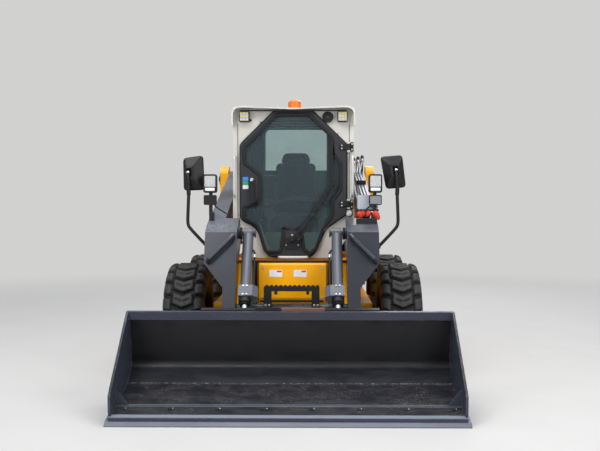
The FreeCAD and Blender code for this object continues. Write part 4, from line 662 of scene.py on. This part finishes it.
def make_wheel_dress(corner, side, centre):
    """Hub cap, ring of wheel nuts and valve on the outer face of a rim."""
    x, y, z = centre
    face, body = x + side * 0.016, "wheel_" + corner
    nuts = bolt_circle((face, y, z), 0.070, 8)
    studs("wheel_nuts_" + corner, nuts, (side, 0, 0), "steel", body, 0.011, 0.016)
    cap = ((0.0, 0.045), (0.022, 0.043), (0.032, 0.034), (0.036, 0.004))
    side_cap("hub_cap_" + corner, side, cap, (face, y, z), body)
    valve = [(face, y, z + 0.150), (face + side * 0.030, y, z + 0.152)]
    tube("valve_" + corner, valve, 0.005, "seal", body)


def make_wheels():
    """The four tyres and their dress."""
    for end, y in (("front", FRONT_Y), ("rear", REAR_Y)):
        for side, label in SIDES:
            corner, centre = f"{end}_{label}", (side * WHEEL_X, y, AXLE_Z)
            make_tyre(corner, side, centre)
            make_wheel_dress(corner, side, centre)


# Outlines of the cab door and of its window: x, z and corner radius in millimetres.
DOOR_EDGE = ((128, 880, 30), (164, 926, 20), (230, 1080, 60), (384, 1186, 40), (384, 1690, 30),
             (138, 1932, 24), (-138, 1932, 24), (-384, 1690, 30), (-384, 1152, 40), (-262, 1086, 60),
             (-204, 926, 20), (-170, 880, 30))
GLASS_EDGE = ((107, 1896, 20), (270, 1737, 40), (277, 1614, 0), (332, 1556, 30), (332, 1360, 30),
              (274, 1287, 20), (274, 1179, 30), (212, 1099, 40), (154, 940, 16), (118, 911, 0),
              (82, 940, 0), (75, 1034, 20), (38, 1095, 0), (-77, 1095, 0), (-85, 1034, 0), (-99, 922, 20),
              (-193, 922, 20), (-251, 1114, 40), (-346, 1164, 20), (-346, 1230, 0), (-259, 1251, 0),
              (-233, 1302, 16), (-233, 1469, 20), (-280, 1512, 0), (-346, 1563, 0), (-346, 1668, 30),
              (-114, 1896, 20))


def make_door():
    """Window rubber, hinges, lock, wiper fixings and blank stickers of the cab door."""
    face, block = DOOR_FACE, CAB_FACE - 0.030
    window = ((-0.002, 0.0), (-0.002, 0.0046), (0.002, 0.0062), (0.019, 0.0062), (0.023, 0.0046),
              (0.023, 0.0))
    band("window_rubber", rounded_loop(GLASS_EDGE), window, face, "seal", "door")
    for top, foot, look in ((1.454, 1.427, "mark_blue"), (1.425, 1.398, "mark_green"),
                            (1.396, 1.367, "white")):
        slab(f"door_sticker_{look}", (-0.367, face - 0.0016, foot), (-0.326, face + 0.001, top), look,
             "door", 0.0)
    lock = ((0.0, 0.013), (-0.004, 0.013), (-0.006, 0.010), (-0.006, 0.004), (-0.004, 0.004))
    lathe("door_lock", lock, (-0.300, face - 0.0345, 1.433), "Y", "steel", "door", 24)
    screws = ((-0.009, face, 1.034), (-0.052, face - 0.009, 0.9615), (0.035, face - 0.009, 0.9615))
    studs("wiper_screws", screws, FORWARD, "steel", "door", 0.005, 0.005)
    pivot = ((0.0, 0.015), (-0.030, 0.015), (-0.036, 0.011), (-0.036, 0.001))
    for number, (x, z) in enumerate(((-0.009, 0.994), (0.038, 0.998))):
        lathe(f"wiper_pivot_{number}", pivot, (x, face, z), "Y", "seal", "door", 24)
    hinges = (("low", 1.258), ("high", 1.671))
    for place, z in hinges:
        slab(f"hinge_leaf_{place}", (0.335, face - 0.012, z - 0.023), (0.394, face - 0.0005, z + 0.023),
             "plastic", "door", 0.006)
        slab(f"hinge_block_{place}", (0.4125, block, z - 0.034), (0.434, CAB_FACE, z + 0.034), "plastic",
             bevel=0.004)
    studs("hinge_bolts", [(0.350, face - 0.012, z + d) for _, z in hinges for d in (-0.011, 0.011)],
          FORWARD, "steel", "door", 0.0045, 0.004)
    studs("hinge_block_bolts", [(0.424, block, z + d) for _, z in hinges for d in (-0.020, 0.020)], FORWARD,
          "steel", radius=0.0045, height=0.004)


def make_cab_front():
    """Rubber round the doorway, grab rails, lamps, horn, nozzles and the foot handle."""
    face = CAB_FACE
    section = ((0.001, 0.0), (0.001, 0.004), (0.003, 0.006), (0.007, 0.006), (0.009, 0.003), (0.009, 0.0))
    band("doorway_rubber", rounded_loop(DOOR_EDGE), section, face + 0.001, "seal", "chassis")
    for side, label in SIDES:
        bends = ((0.004, 1.312), (-0.052, 1.322), (-0.060, 1.350), (-0.060, 1.570), (-0.052, 1.598),
                 (0.004, 1.608))
        tube(f"cab_rail_{label}", [(side * 0.4265, face + y, z) for y, z in bends], 0.009, "cab")
        side_slab(f"post_fold_{label}", side, (0.403, 0.407), (face - 0.0015, face + 0.002), (1.13, 1.84),
                  "seal", bevel=0.0)
        x, y, z = side * 0.355, LAMP_FACE, 1.8905
        slab(f"lamp_face_{label}", (x - 0.031, y - 0.0022, z - 0.033), (x + 0.031, y + 0.002, z + 0.033),
             "led", bevel=0.010)
        spots = [(x + 0.021 * i, y - 0.002, z + 0.023 * k) for i in (-1, 0, 1) for k in (-1, 0, 1)]
        studs(f"lamp_diodes_{label}", spots, FORWARD, "diode", "chassis", 0.0060, 0.0030, 1.2, 12)
        x, y = side * 0.458, face + 0.060
        pipe = ((x, y, 0.872), (x, y, 1.100), (x, y + 0.03, 1.138), (x, y + 0.09, 1.142), (x, 0.60, 1.142))
        tube(f"side_pipe_{label}", pipe, 0.012, "seal")
    # Painted shade: a dark strip under the visor's front edge, standing in for the shaded underside of the
    # visor.
    slab("visor_shade_strip", (-0.385, face - 0.066, 1.927), (0.385, face - 0.050, 1.938), "seal", bevel=0.003)
    horn = ((0.0, 0.040), (-0.012, 0.040), (-0.014, 0.036), (-0.012, 0.032), (-0.014, 0.027),
            (-0.012, 0.022), (-0.014, 0.017), (-0.012, 0.012), (-0.015, 0.008), (-0.015, 0.001))
    lathe("horn", horn, (0.250, face - 0.006, 1.888), "Y", "plastic")
    studs("horn_cap", [(0.250, face - 0.020, 1.888)], FORWARD, "grey", "chassis", 0.007, 0.004, 1.2, 16)
    tube("washer_nozzle", [(-0.311, face, 1.866), (-0.311, face - 0.020, 1.866)], 0.008, "plastic")
    tube("washer_jet", [(-0.240, face, 1.854), (-0.236, face - 0.018, 1.850)], 0.005, "plastic")
    lamp = ((0.004, 0.025), (-0.010, 0.025), (-0.014, 0.021), (-0.016, 0.010), (-0.016, 0.001))
    lathe("round_lamp", lamp, (0.402, face - 0.006, 1.193), "Y", "white", sides=28)
    bezel = ((0.004, 0.029), (-0.006, 0.029), (-0.008, 0.026))
    lathe("lamp_bezel", bezel, (0.402, face - 0.002, 1.193), "Y", "seal", sides=28)
    bends = ((-0.105, 0.01), (-0.105, -0.052), (-0.090, -0.058), (0.085, -0.058), (0.100, -0.052),
             (0.100, 0.01))
    tube("foot_handle", [(x, face + y, 0.872) for x, y in bends], 0.0115, "cab")
    for x, z in ((0.322, 1.770), (0.324, 1.301)):
        studs(f"red_plug_{int(z * 1000)}", [(x, face, z)], FORWARD, "red", "chassis", 0.004, 0.003, 1.0, 10)


def make_tub_front():
    """Black strips and blank labels of the tub's front and its panel."""
    front, face = TUB_FACE, PANEL_FACE
    slab("sill_rubber", (-0.400, front - 0.012, 0.846), (0.400, front + 0.004, 0.862), "seal", bevel=0.004)
    for label, low, high, mark in (("right", -0.283, -0.249, -0.279), ("left", 0.249, 0.278, 0.252)):
        slab(f"side_strip_{label}", (low, front - 0.010, 0.545), (high, front + 0.002, 0.846), "plastic",
             bevel=0.004)
        slab(f"strip_label_{label}", (mark, front - 0.0115, 0.575), (mark + 0.024, front - 0.009, 0.640),
             "white", bevel=0.0)
        slab(f"strip_label_{label}_foot", (mark, front - 0.0118, 0.560),
             (mark + 0.024, front - 0.009, 0.574), "mark_green", bevel=0.0)
    for label, low, high in (("one", -0.164, -0.073), ("two", 0.007, 0.098)):
        slab(f"panel_label_{label}", (low, face - 0.0012, 0.748), (high, face + 0.002, 0.797), "white",
             bevel=0.0)
        slab(f"panel_label_{label}_strip", (high - 0.036, face - 0.0018, 0.781),
             (high - 0.004, face + 0.002, 0.793), "mark_red", bevel=0.0)
    spots = both([(0.205, face, 0.600), (0.205, face, 0.810)])
    studs("panel_bolts", spots, FORWARD, "steel", radius=0.006, height=0.004)


def make_interior():
    """Padded seat, linings, rear panels and the lap bar."""
    low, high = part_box("seat_cushion")
    seat = pad("seat_pad", (0.200, low.y + 0.012, high.y - 0.014, low.z + 0.012),
               (0.190, low.y + 0.020, high.y - 0.020, high.z - 0.012), 0.036)
    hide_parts("seat_cushion")
    low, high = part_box("seat_backrest")
    back = pad("back_pad", (0.190, low.y + 0.012, low.y + 0.095, low.z + 0.026),
               (0.168, high.y - 0.098, high.y - 0.012, high.z - 0.088), 0.038)
    head = pad("head_pad", (0.125, high.y - 0.088, high.y - 0.012, high.z - 0.104),
               (0.100, high.y - 0.080, high.y - 0.010, high.z - 0.012), 0.034)
    for piece in (back, head):
        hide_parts("seat_backrest")
    slab("head_lining", (-0.400, -0.200, 1.884), (0.400, 0.700, 1.892), "lining")
    for number, y in enumerate((-0.05, 0.18, 0.42, 0.64)):
        slab(f"lining_bar_{number}", (-0.395, y, 1.874), (0.395, y + 0.030, 1.885), "plastic", bevel=0.003)
    slab("rear_panel", (-0.262, 0.700, 1.300), (0.262, 0.716, 1.540), "grey", bevel=0.008)
    slab("rear_sill", (-0.262, 0.640, 1.490), (-0.100, 0.700, 1.498), "lining", bevel=0.003)
    for side, label in SIDES:
        side_slab(f"rear_pillar_{label}", side, (0.262, 0.402), (0.690, 0.706), (1.000, 1.880), "grey",
                  bevel=0.004)
        for number in range(6):
            x = 0.280 + 0.020 * number
            side_slab(f"pillar_rib_{label}_{number}", side, (x - 0.004, x + 0.004), (0.684, 0.692),
                      (1.02, 1.86), "plastic")
        side_slab(f"side_panel_{label}", side, (0.395, 0.404), (-0.190, 0.680), (0.960, 1.175), "grey",
                  bevel=0.004)
    bar = [(-0.300, 0.45, 1.215), (-0.300, 0.24, 1.190), (-0.250, 0.150, 1.215), (-0.125, 0.120, 1.284),
           (0.030, 0.115, 1.306), (0.190, 0.120, 1.284), (0.280, 0.160, 1.215), (0.300, 0.24, 1.190),
           (0.300, 0.45, 1.215)]
    tube("lap_bar", bar, 0.015, "grey")


def applied(thing):
    """Put a piece's modifiers into its mesh."""
    bpy.context.view_layer.update()
    graph = bpy.context.evaluated_depsgraph_get()
    mesh = bpy.data.meshes.new_from_object(thing.evaluated_get(graph))
    thing.modifiers.clear()
    thing.data = mesh
    return thing


def points_of(mesh, what="co"):
    """The points of a mesh, or their normals, as an array."""
    spots = np.empty(len(mesh.vertices) * 3)
    mesh.vertices.foreach_get(what, spots)
    return spots.reshape(-1, 3)


def pad(name, foot, top, round_by):
    """A padded piece: a tapered block, blown up as cloth, with sewn seams pressed in.

    foot and top are half width, front, back and height. Each seam lowers the surface by
    depth * exp(-(distance / width) ** 2)."""
    voxel, pressure, frames, most = 0.006, 4.0, 20, 0.012
    seam_place, seam_depth, seam_width = 0.66, 0.005, 0.004
    points = [(x, y, z) for half, front, back, z in (foot, top) for x, y in
              ((-half, front), (half, front), (half, back), (-half, back))]
    piece = add(name, points, capped_faces(2, 4), "seat", "chassis", False)
    bevel = piece.modifiers.new("round", "BEVEL")
    bevel.width, bevel.segments = round_by, 5
    remesh = piece.modifiers.new("even", "REMESH")
    remesh.mode, remesh.voxel_size = "VOXEL", voxel
    applied(piece)
    start = points_of(piece.data)
    blown = piece.modifiers.new("blown", "CLOTH")
    blown.settings.use_pressure = True
    blown.settings.uniform_pressure_force = pressure
    blown.settings.effector_weights.gravity = 0.0
    blown.point_cache.frame_start, blown.point_cache.frame_end = 1, frames
    for step in range(1, frames + 1):
        bpy.context.scene.frame_set(step)
    applied(piece)
    bpy.context.scene.frame_set(1)
    moved = points_of(piece.data) - start
    length = np.linalg.norm(moved, axis=1, keepdims=True)
    spots = start + moved * np.minimum(1.0, most / np.maximum(length, 1e-9))
    seam = np.abs(np.abs(spots[:, 0]) - seam_place * min(foot[0], top[0]))
    spots -= seam_depth * np.exp(-(seam / seam_width) ** 2)[:, None] * points_of(piece.data, "normal")
    piece.data.vertices.foreach_set("co", spots.ravel())
    piece.data.update()
    piece.data.materials.clear()
    piece.data.materials.append(looks["seat"])
    piece.data.polygons.foreach_set("use_smooth", [True] * len(piece.data.polygons))
    return piece


def make_arm_lamps():
    """Lamp glasses, cables, red cap flaps and the coupling block on the loader arms."""
    face = HEADLAMP_FACE
    for side, label in SIDES:
        side_slab(f"headlamp_glass_{label}", side, (0.540, 0.616), (face - 0.0016, face + 0.004),
                  (1.378, 1.455), "lens", "arms", 0.008)
        side_slab(f"headlamp_foot_{label}", side, (0.544, 0.612), (face - 0.0026, face + 0.004),
                  (1.349, 1.372), "white", "arms", 0.004)
        bends = ((0.560, 0.045, 1.26), (0.530, 0.040, 1.23), (0.500, 0.055, 1.21), (0.470, 0.085, 1.19))
        tube(f"lamp_cable_{label}", [(side * x, face + y, z) for x, y, z in bends], 0.0045, "seal", "arms")
    slab("indicator_glass", (0.540, face - 0.0016, 1.258), (0.616, face + 0.004, 1.314), "grey_lens",
         "arms", 0.010)
    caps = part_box("aux_caps")[0].y
    flaps = ((0.470, 1.180, 0.5, 0.028), (0.528, 1.188, -0.5, 0.024), (0.586, 1.178, 0.6, 0.036))
    for number, (x, z, turn, size) in enumerate(flaps):
        flap(f"cap_flap_{number}", (x, caps + 0.004, z), turn, size)
    for place, x in (("inner", 0.488), ("outer", 0.530)):
        collar = ((0.0, 0.0245), (0.020, 0.0245))
        lathe(f"cap_collar_{place}", collar, (x, caps + 0.062, 1.192), "Y", "black", "arms", 24)
    slab("coupling_rail", (0.466, caps + 0.020, 1.207), (0.602, caps + 0.060, 1.222), "plastic", "arms",
         0.004)
    slab("coupling_block", (0.442, -0.600, 1.100), (0.584, -0.530, 1.158), "plastic", "arms", 0.004)


def flap(name, centre, turn, size):
    """A dust cap hanging from its hose end: a flattened, tapered and tilted egg.

    Its half width is size * sin(t) * (0.62 + 0.2 cos(t)), its height runs as size * cos(t)."""
    t = np.linspace(0.05, np.pi - 0.05, 14)[:, None]
    p = np.linspace(0, 2 * np.pi, 18, endpoint=False)[None]
    wide = size * np.sin(t) * (0.62 + 0.2 * np.cos(t))
    x, y, z = wide * np.cos(p), 0.5 * wide * np.sin(p), np.broadcast_to(size * np.cos(t), (14, 18))
    c, s = math.cos(turn), math.sin(turn)
    points = np.stack([centre[0] + c * x - s * z, centre[1] + y, centre[2] + s * x + c * z], axis=2)
    add(name, points, capped_faces(14, 18), "red", "arms")


# Mirror heads seen from the front: x and z of the four corners, the clamp's place, for each side.
MIRRORS = (("left", ((0.618, 1.594), (0.773, 1.606), (0.800, 1.376), (0.660, 1.364)), (0.727, 1.496)),
           ("right", ((-0.780, 1.584), (-0.639, 1.604), (-0.628, 1.358), (-0.776, 1.352)), (-0.741, 1.480)))


def make_mirrors():
    """Mirror heads with faceted backs, each on a stalk with a sleeve and a silver clamp."""
    low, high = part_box("mirrors")
    y, back = low.y + 0.016, high.y
    made = []
    for label, corners, clamp in MIRRORS:
        side = math.copysign(1.0, clamp[0])
        outline = rounded_loop([(1000 * x, 1000 * z, 34) for x, z in corners], 6)
        centre = outline.mean(axis=0)
        inner = clamp + (outline - clamp) * 0.42
        pit = clamp + (outline - centre) * 0.16
        rings = ((centre + (outline - centre) * 0.96, 0.0), (outline, 0.010), (outline, 0.030),
                 (centre + (outline - centre) * 0.95, 0.038), (inner, 0.064),
                 (pit * 0.6 + inner * 0.4, 0.068), (pit, 0.050))
        points = np.stack([np.insert(flat, 1, back - depth, axis=1) for flat, depth in rings])
        shell = add(f"mirror_shell_{label}", points, capped_faces(len(rings), len(outline)), "mirror",
                    "arms", False)
        glass = centre + (outline - centre) * 0.9
        prism(f"mirror_glass_{label}", glass, back - 0.001, back + 0.002, "Y", "chrome", "arms")
        stalk = [(clamp[0], back - 0.066, clamp[1]), (clamp[0], y, clamp[1] - 0.012)]
        stalk += [(side * x, y, z) for x, z in
                  ((0.731, 1.370), (0.738, 1.200), (0.741, 1.118), (0.722, 1.082), (0.606, 0.962))]
        made += [soften(shell, 0.003), tube(f"mirror_stalk_{label}", stalk, 0.0115, "black", "arms"),
                 ring(f"mirror_sleeve_{label}", (side * 0.7325, y, 1.320), (side * 0.04, 0, 1), 0.0145,
                      0.060, "black", "arms"),
                 side_slab(f"mirror_foot_{label}", side, (0.589, 0.616), (y - 0.014, y + 0.022),
                           (0.945, 0.986), "black", "arms", 0.003)]
        knob = ((0.0, 0.013), (-0.012, 0.013), (-0.018, 0.008), (-0.018, 0.001))
        lathe(f"mirror_clamp_{label}", knob, (clamp[0], back - 0.062, clamp[1]), "Y", "chrome", "arms", 20)
    for thing in made:
        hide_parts("mirrors")


def make_cylinders():
    """Clamp bolts, gland sleeves, fittings and fixed pipes of the tilt cylinders."""
    for side, label in SIDES:
        body, inner = "tilt_barrel_" + label, -0.052
        foot = np.array(on_barrel(side, 0.0, 0.0, 0.0))
        run, way = (on_barrel(side, *step, 0.0) - foot for step in ((1.0, 0.0), (0.0, 1.0)))
        spots = [on_barrel(side, 0.496 + a, 0.047, c) for a in (-0.033, 0.033) for c in (-0.012, 0.012)]
        studs(f"clamp_bolts_{label}", spots, way, "steel", body, 0.006, 0.008, 1.3)
        ring(f"gland_{label}", on_barrel(side, 0.540, 0.0, 0.0), run, 0.0415, 0.034, "black", body)
        ring(f"gland_lip_{label}", on_barrel(side, 0.570, 0.0, 0.0), run, 0.033, 0.014, "seal", body)
        bends = ((0.150, 0.012, -0.038), (0.170, 0.012, inner), (0.200, 0.012, inner),
                 (0.450, 0.012, inner), (0.480, 0.018, inner - 0.006))
        tube(f"tilt_pipe_{label}", [on_barrel(side, *bend) for bend in bends], 0.0075, "seal", body)
        for place, along in (("top", 0.190), ("foot", 0.452)):
            spot = on_barrel(side, along, 0.012, inner)
            ring(f"pipe_nut_{place}_{label}", spot, run, 0.0115, 0.024, "steel", body, 6)
        pin = ((0.0, 0.043), (0.012, 0.043), (0.016, 0.036), (0.016, 0.002))
        side_cap(f"tilt_pin_cap_{label}", side, pin, (side * 0.350, *TILT_PIN), "arms", 28)


def make_step():
    """Bolts of the folding step under the cab."""
    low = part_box("step")[0].y
    spots = [(x, low, 0.583) for x in (-0.174, -0.150, 0.150, 0.174)]
    studs("step_bolts", spots, FORWARD, "steel", "arms", 0.006, 0.005)


def make_bucket():
    """Edge bolts, the toothed strip and the rubbed strip behind the bucket."""
    up = np.array(tipped(0.0, 1.0)) - np.array(tipped(0.0, 0.0))
    bolts = [tipped(0.145, 0.042, -0.951 + 0.2717 * number) for number in range(8)]
    studs("edge_bolts", bolts, up, "black", "bucket", 0.013, 0.006, 1.25, 4)
    studs("edge_nuts", np.add(bolts, (0.014, 0, 0.004)), up, "steel", "bucket", 0.004, 0.004, 1.2)
    (_, near, _), (_, far, top) = tipped(0.700, 0.452), tipped(0.742, 0.452)
    teeth = [(-0.215 + 0.0186 * (i + a), top - 0.004 + h) for i in range(8) for a, h in
             ((0.0, 0.0), (0.2, 0.010), (0.7, 0.010), (0.9, 0.0))]
    outline = [(-0.215, top - 0.020)] + teeth + [(-0.066, top - 0.020)]
    prism("back_teeth", outline, near, far, "Y", "plastic", "bucket")
    slab("back_strip", (-0.053, near, top - 0.020), (0.216, far, top + 0.001), "rust", "bucket")


def make_roof():
    """Ribs and foot of the beacon."""
    low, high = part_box("beacon")
    centre = ((low.x + high.x) / 2, (low.y + high.y) / 2, 0.0)
    ribs = [(low.z + 0.042 + rib * 0.0085 + rise, radius) for rib in range(7) for rise, radius in
            ((0.0, 0.0500), (0.003, 0.0520), (0.006, 0.0500))]
    lathe("beacon_ribs", ribs, centre, "Z", "orange", sides=48)
    foot = ((low.z, 0.052), (low.z + 0.026, 0.052), (low.z + 0.030, 0.0505))
    lathe("beacon_foot", foot, centre, "Z", "plastic", sides=40)


def make_aux_lines():
    """Elbows that lead the auxiliary tubes over onto the arm's pivot end, and the tubes' clamp."""
    for number, x in enumerate((0.500, 0.522, 0.544)):
        head, tall = 0.498 + 0.036 * number, 1.612 + 0.010 * number
        rise = [(x, 0.985, 1.524), (x, 1.020, 1.540), (head, 1.045, tall)]
        tube(f"aux_rise_{number}", rise, 0.0095, "tubing", "arms")
        bends = ((1.045, tall), (1.050, tall + 0.038), (1.090, tall + 0.046), (1.140, tall + 0.030),
                 (1.175, 1.590), (1.180, 1.545))
        tube(f"aux_elbow_{number}", [(head, y, z) for y, z in bends], 0.0135, "seal", "arms")
        ring(f"aux_nut_{number}", (head, 1.045, tall - 0.004), (0, 0.1, 1), 0.0165, 0.026, "steel", "arms",
             6)
    slab("aux_clamp", (0.486, 0.300, 1.412), (0.560, 0.330, 1.446), "plastic", "arms", 0.004)


def make_sides():
    """Pivot caps, bolts and filler cap of both sides."""
    tower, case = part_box("arm_towers")[1].x, 0.560
    pin_y, pin_z = ARM_PIN
    pivot = ((0.0, 0.058), (0.008, 0.058), (0.012, 0.050), (0.012, 0.026), (0.020, 0.024), (0.020, 0.001))
    lift = ((0.0, 0.036), (0.010, 0.036), (0.014, 0.030), (0.014, 0.001))
    for side, label in SIDES:
        side_cap(f"pivot_cap_{label}", side, pivot, (side * tower, pin_y, pin_z), sides=36)
        side_cap(f"lift_pin_cap_{label}", side, lift, (side * ARM_SIDE, FRONT_Y + 0.330, 0.960), "arms", 28)
        # name, x, pairs of y and z, body, radius, height
        groups = (("case", case, [(y, z) for y in (0.20, 0.27, 0.34, 0.41) for z in (0.25, 0.50)],
                   "chassis", 0.008, 0.006),
                  ("tower", tower, [(pin_y + y, z) for y in (-0.02, 0.06) for z in (0.93, 1.02)],
                   "chassis", 0.008, 0.006),
                  ("knee", ARM_SIDE, ((-0.52, 1.02), (-0.44, 1.04)), "arms", 0.008, 0.005),
                  ("pivot", tower + 0.012, bolt_circle((0, pin_y, pin_z), 0.038, 4, np.pi / 4)[:, 1:],
                   "chassis", 0.006, 0.005))
        for name, x, places, body, radius, height in groups:
            studs(f"{name}_bolts_{label}", [(side * x, y, z) for y, z in places], (side, 0, 0), "steel",
                  body, radius, height)
    filler = ((0.0, 0.040), (0.010, 0.042), (0.026, 0.042), (0.032, 0.036), (0.032, 0.001))
    side_cap("filler_cap", -1, filler, (-0.4635, 1.30, 0.70))


def make_rear():
    """Slats, bolts, latch and lamp lenses of the tailgate and the bumper."""
    back = SHELL_BACK
    for number in range(9):
        z = 0.640 + 0.060 * number
        slab(f"gate_slat_{number}", (-0.330, back - 0.001, z), (0.330, back + 0.008, z + 0.016), "plastic",
             "tailgate", 0.003)
    studs("gate_bolts", both([(0.400, back, 0.560), (0.400, back, 1.200)]), (0, 1, 0), "steel", "tailgate",
          0.008, 0.005)
    slab("gate_latch", (-0.405, back - 0.001, 0.850), (-0.365, back + 0.016, 0.950), "seal", "tailgate",
         0.005)
    x, y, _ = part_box("tail_lamps")[1]
    for side, label in SIDES:
        for tone, low, high in (("red", 1.060, 1.112), ("amber", 1.004, 1.056)):
            side_slab(f"tail_{tone}_{label}", side, (x - 0.046, x - 0.004), (y - 0.002, y + 0.004),
                      (low, high), f"{tone}_lens", bevel=0.003)


def make_stage():
    """Pale floor that fades into the backdrop's tone far out, and lamps on every side."""
    size = 60.0
    mesh = bpy.data.meshes.new("floor")
    corners = [(-size, -size, 0), (size, -size, 0), (size, size, 0), (-size, size, 0)]
    mesh.from_pydata(corners, [], [(0, 1, 2, 3)])
    floor = bpy.data.objects.new("floor", mesh)
    bpy.context.scene.collection.objects.link(floor)
    f = Finish("floor_finish")
    grain = f.place.noise(2.0, 5.0)
    tone = grain.mix((0.50, 0.495, 0.485), (0.55, 0.545, 0.535))
    f.set(Base_Color=tone, Roughness=0.85, Specular_IOR_Level=0.2)
    far = f.place.node("ShaderNodeVectorMath", ((0, f.place),), out="Value", operation="LENGTH")
    seen = f.place.node("ShaderNodeLightPath", out="Is Camera Ray")
    veil = f.place.node("ShaderNodeEmission", (("Color", BACKDROP), ("Strength", 1.0)))
    shown = Wire(f.tree, f.shader.outputs[0])
    f.surface(veil.node("ShaderNodeMixShader", ((0, far.ramp(3.5, 11.0) * seen), (1, shown), (2, veil))))
    mesh.materials.append(f.material)
    world = bpy.data.worlds.new("sky")
    bpy.context.scene.world = world
    world.use_nodes = True
    tree = world.node_tree
    sky = tree.nodes["Background"]
    seen = Wire(tree, tree.nodes.new("ShaderNodeLightPath").outputs["Is Camera Ray"])
    height = Wire(tree, tree.nodes.new("ShaderNodeTexCoord").outputs["Generated"]).axis("Z")
    cover = height.ramp(-0.1, 0.9).mix((0.30, 0.31, 0.33), (0.98, 1.0, 1.05))
    plug(tree, sky.inputs["Color"], seen.mix(cover, shade(BACKDROP, 1.0 / SKY)))
    sky.inputs["Strength"].default_value = SKY
    # name, place, aim, width, watts
    lamps = (("key", (-3.0, -6.0, 7.0), (0, -0.5, 0.9), 5.0, 300),
             ("fill", (4.5, -5.0, 4.5), (0, -0.5, 0.8), 4.0, 150),
             ("top", (0.3, -0.5, 7.5), (0, -0.3, 0.8), 6.0, 330),
             ("back", (2.0, 7.0, 4.5), (0, 1.0, 1.0), 4.0, 130),
             ("low_right", (-3.5, -7.5, 1.8), (0, -0.5, 0.7), 2.0, 75),
             ("low_left", (3.5, -7.5, 1.8), (0, -0.5, 0.7), 2.0, 75))
    for name, place, aim, width, watts in lamps:
        light = bpy.data.lights.new(name, "AREA")
        light.shape, light.size, light.energy = "DISK", width, watts
        lamp = bpy.data.objects.new(name, light)
        lamp.location = place
        lamp.rotation_euler = (Vector(aim) - Vector(place)).to_track_quat("-Z", "Y").to_euler()
        bpy.context.scene.collection.objects.link(lamp)


def make_camera():
    """Camera at the photograph's place and angle."""
    lens_data = bpy.data.cameras.new("view")
    lens_data.lens, lens_data.sensor_width = LENS, 36.0
    camera = bpy.data.objects.new("view", lens_data)
    camera.location = EYE
    camera.rotation_euler = (math.radians(90 - LOOK_DOWN), 0, math.radians(-LOOK_RIGHTWARD))
    bpy.context.scene.collection.objects.link(camera)
    bpy.context.scene.camera = camera


make_wheels()
make_door()
make_cab_front()
make_tub_front()
make_interior()
make_arm_lamps()
make_mirrors()
make_cylinders()
make_step()
make_bucket()
make_roof()
make_aux_lines()
make_sides()
make_rear()
make_stage()
make_camera()
bpy.context.scene.view_settings.view_transform = "Standard"
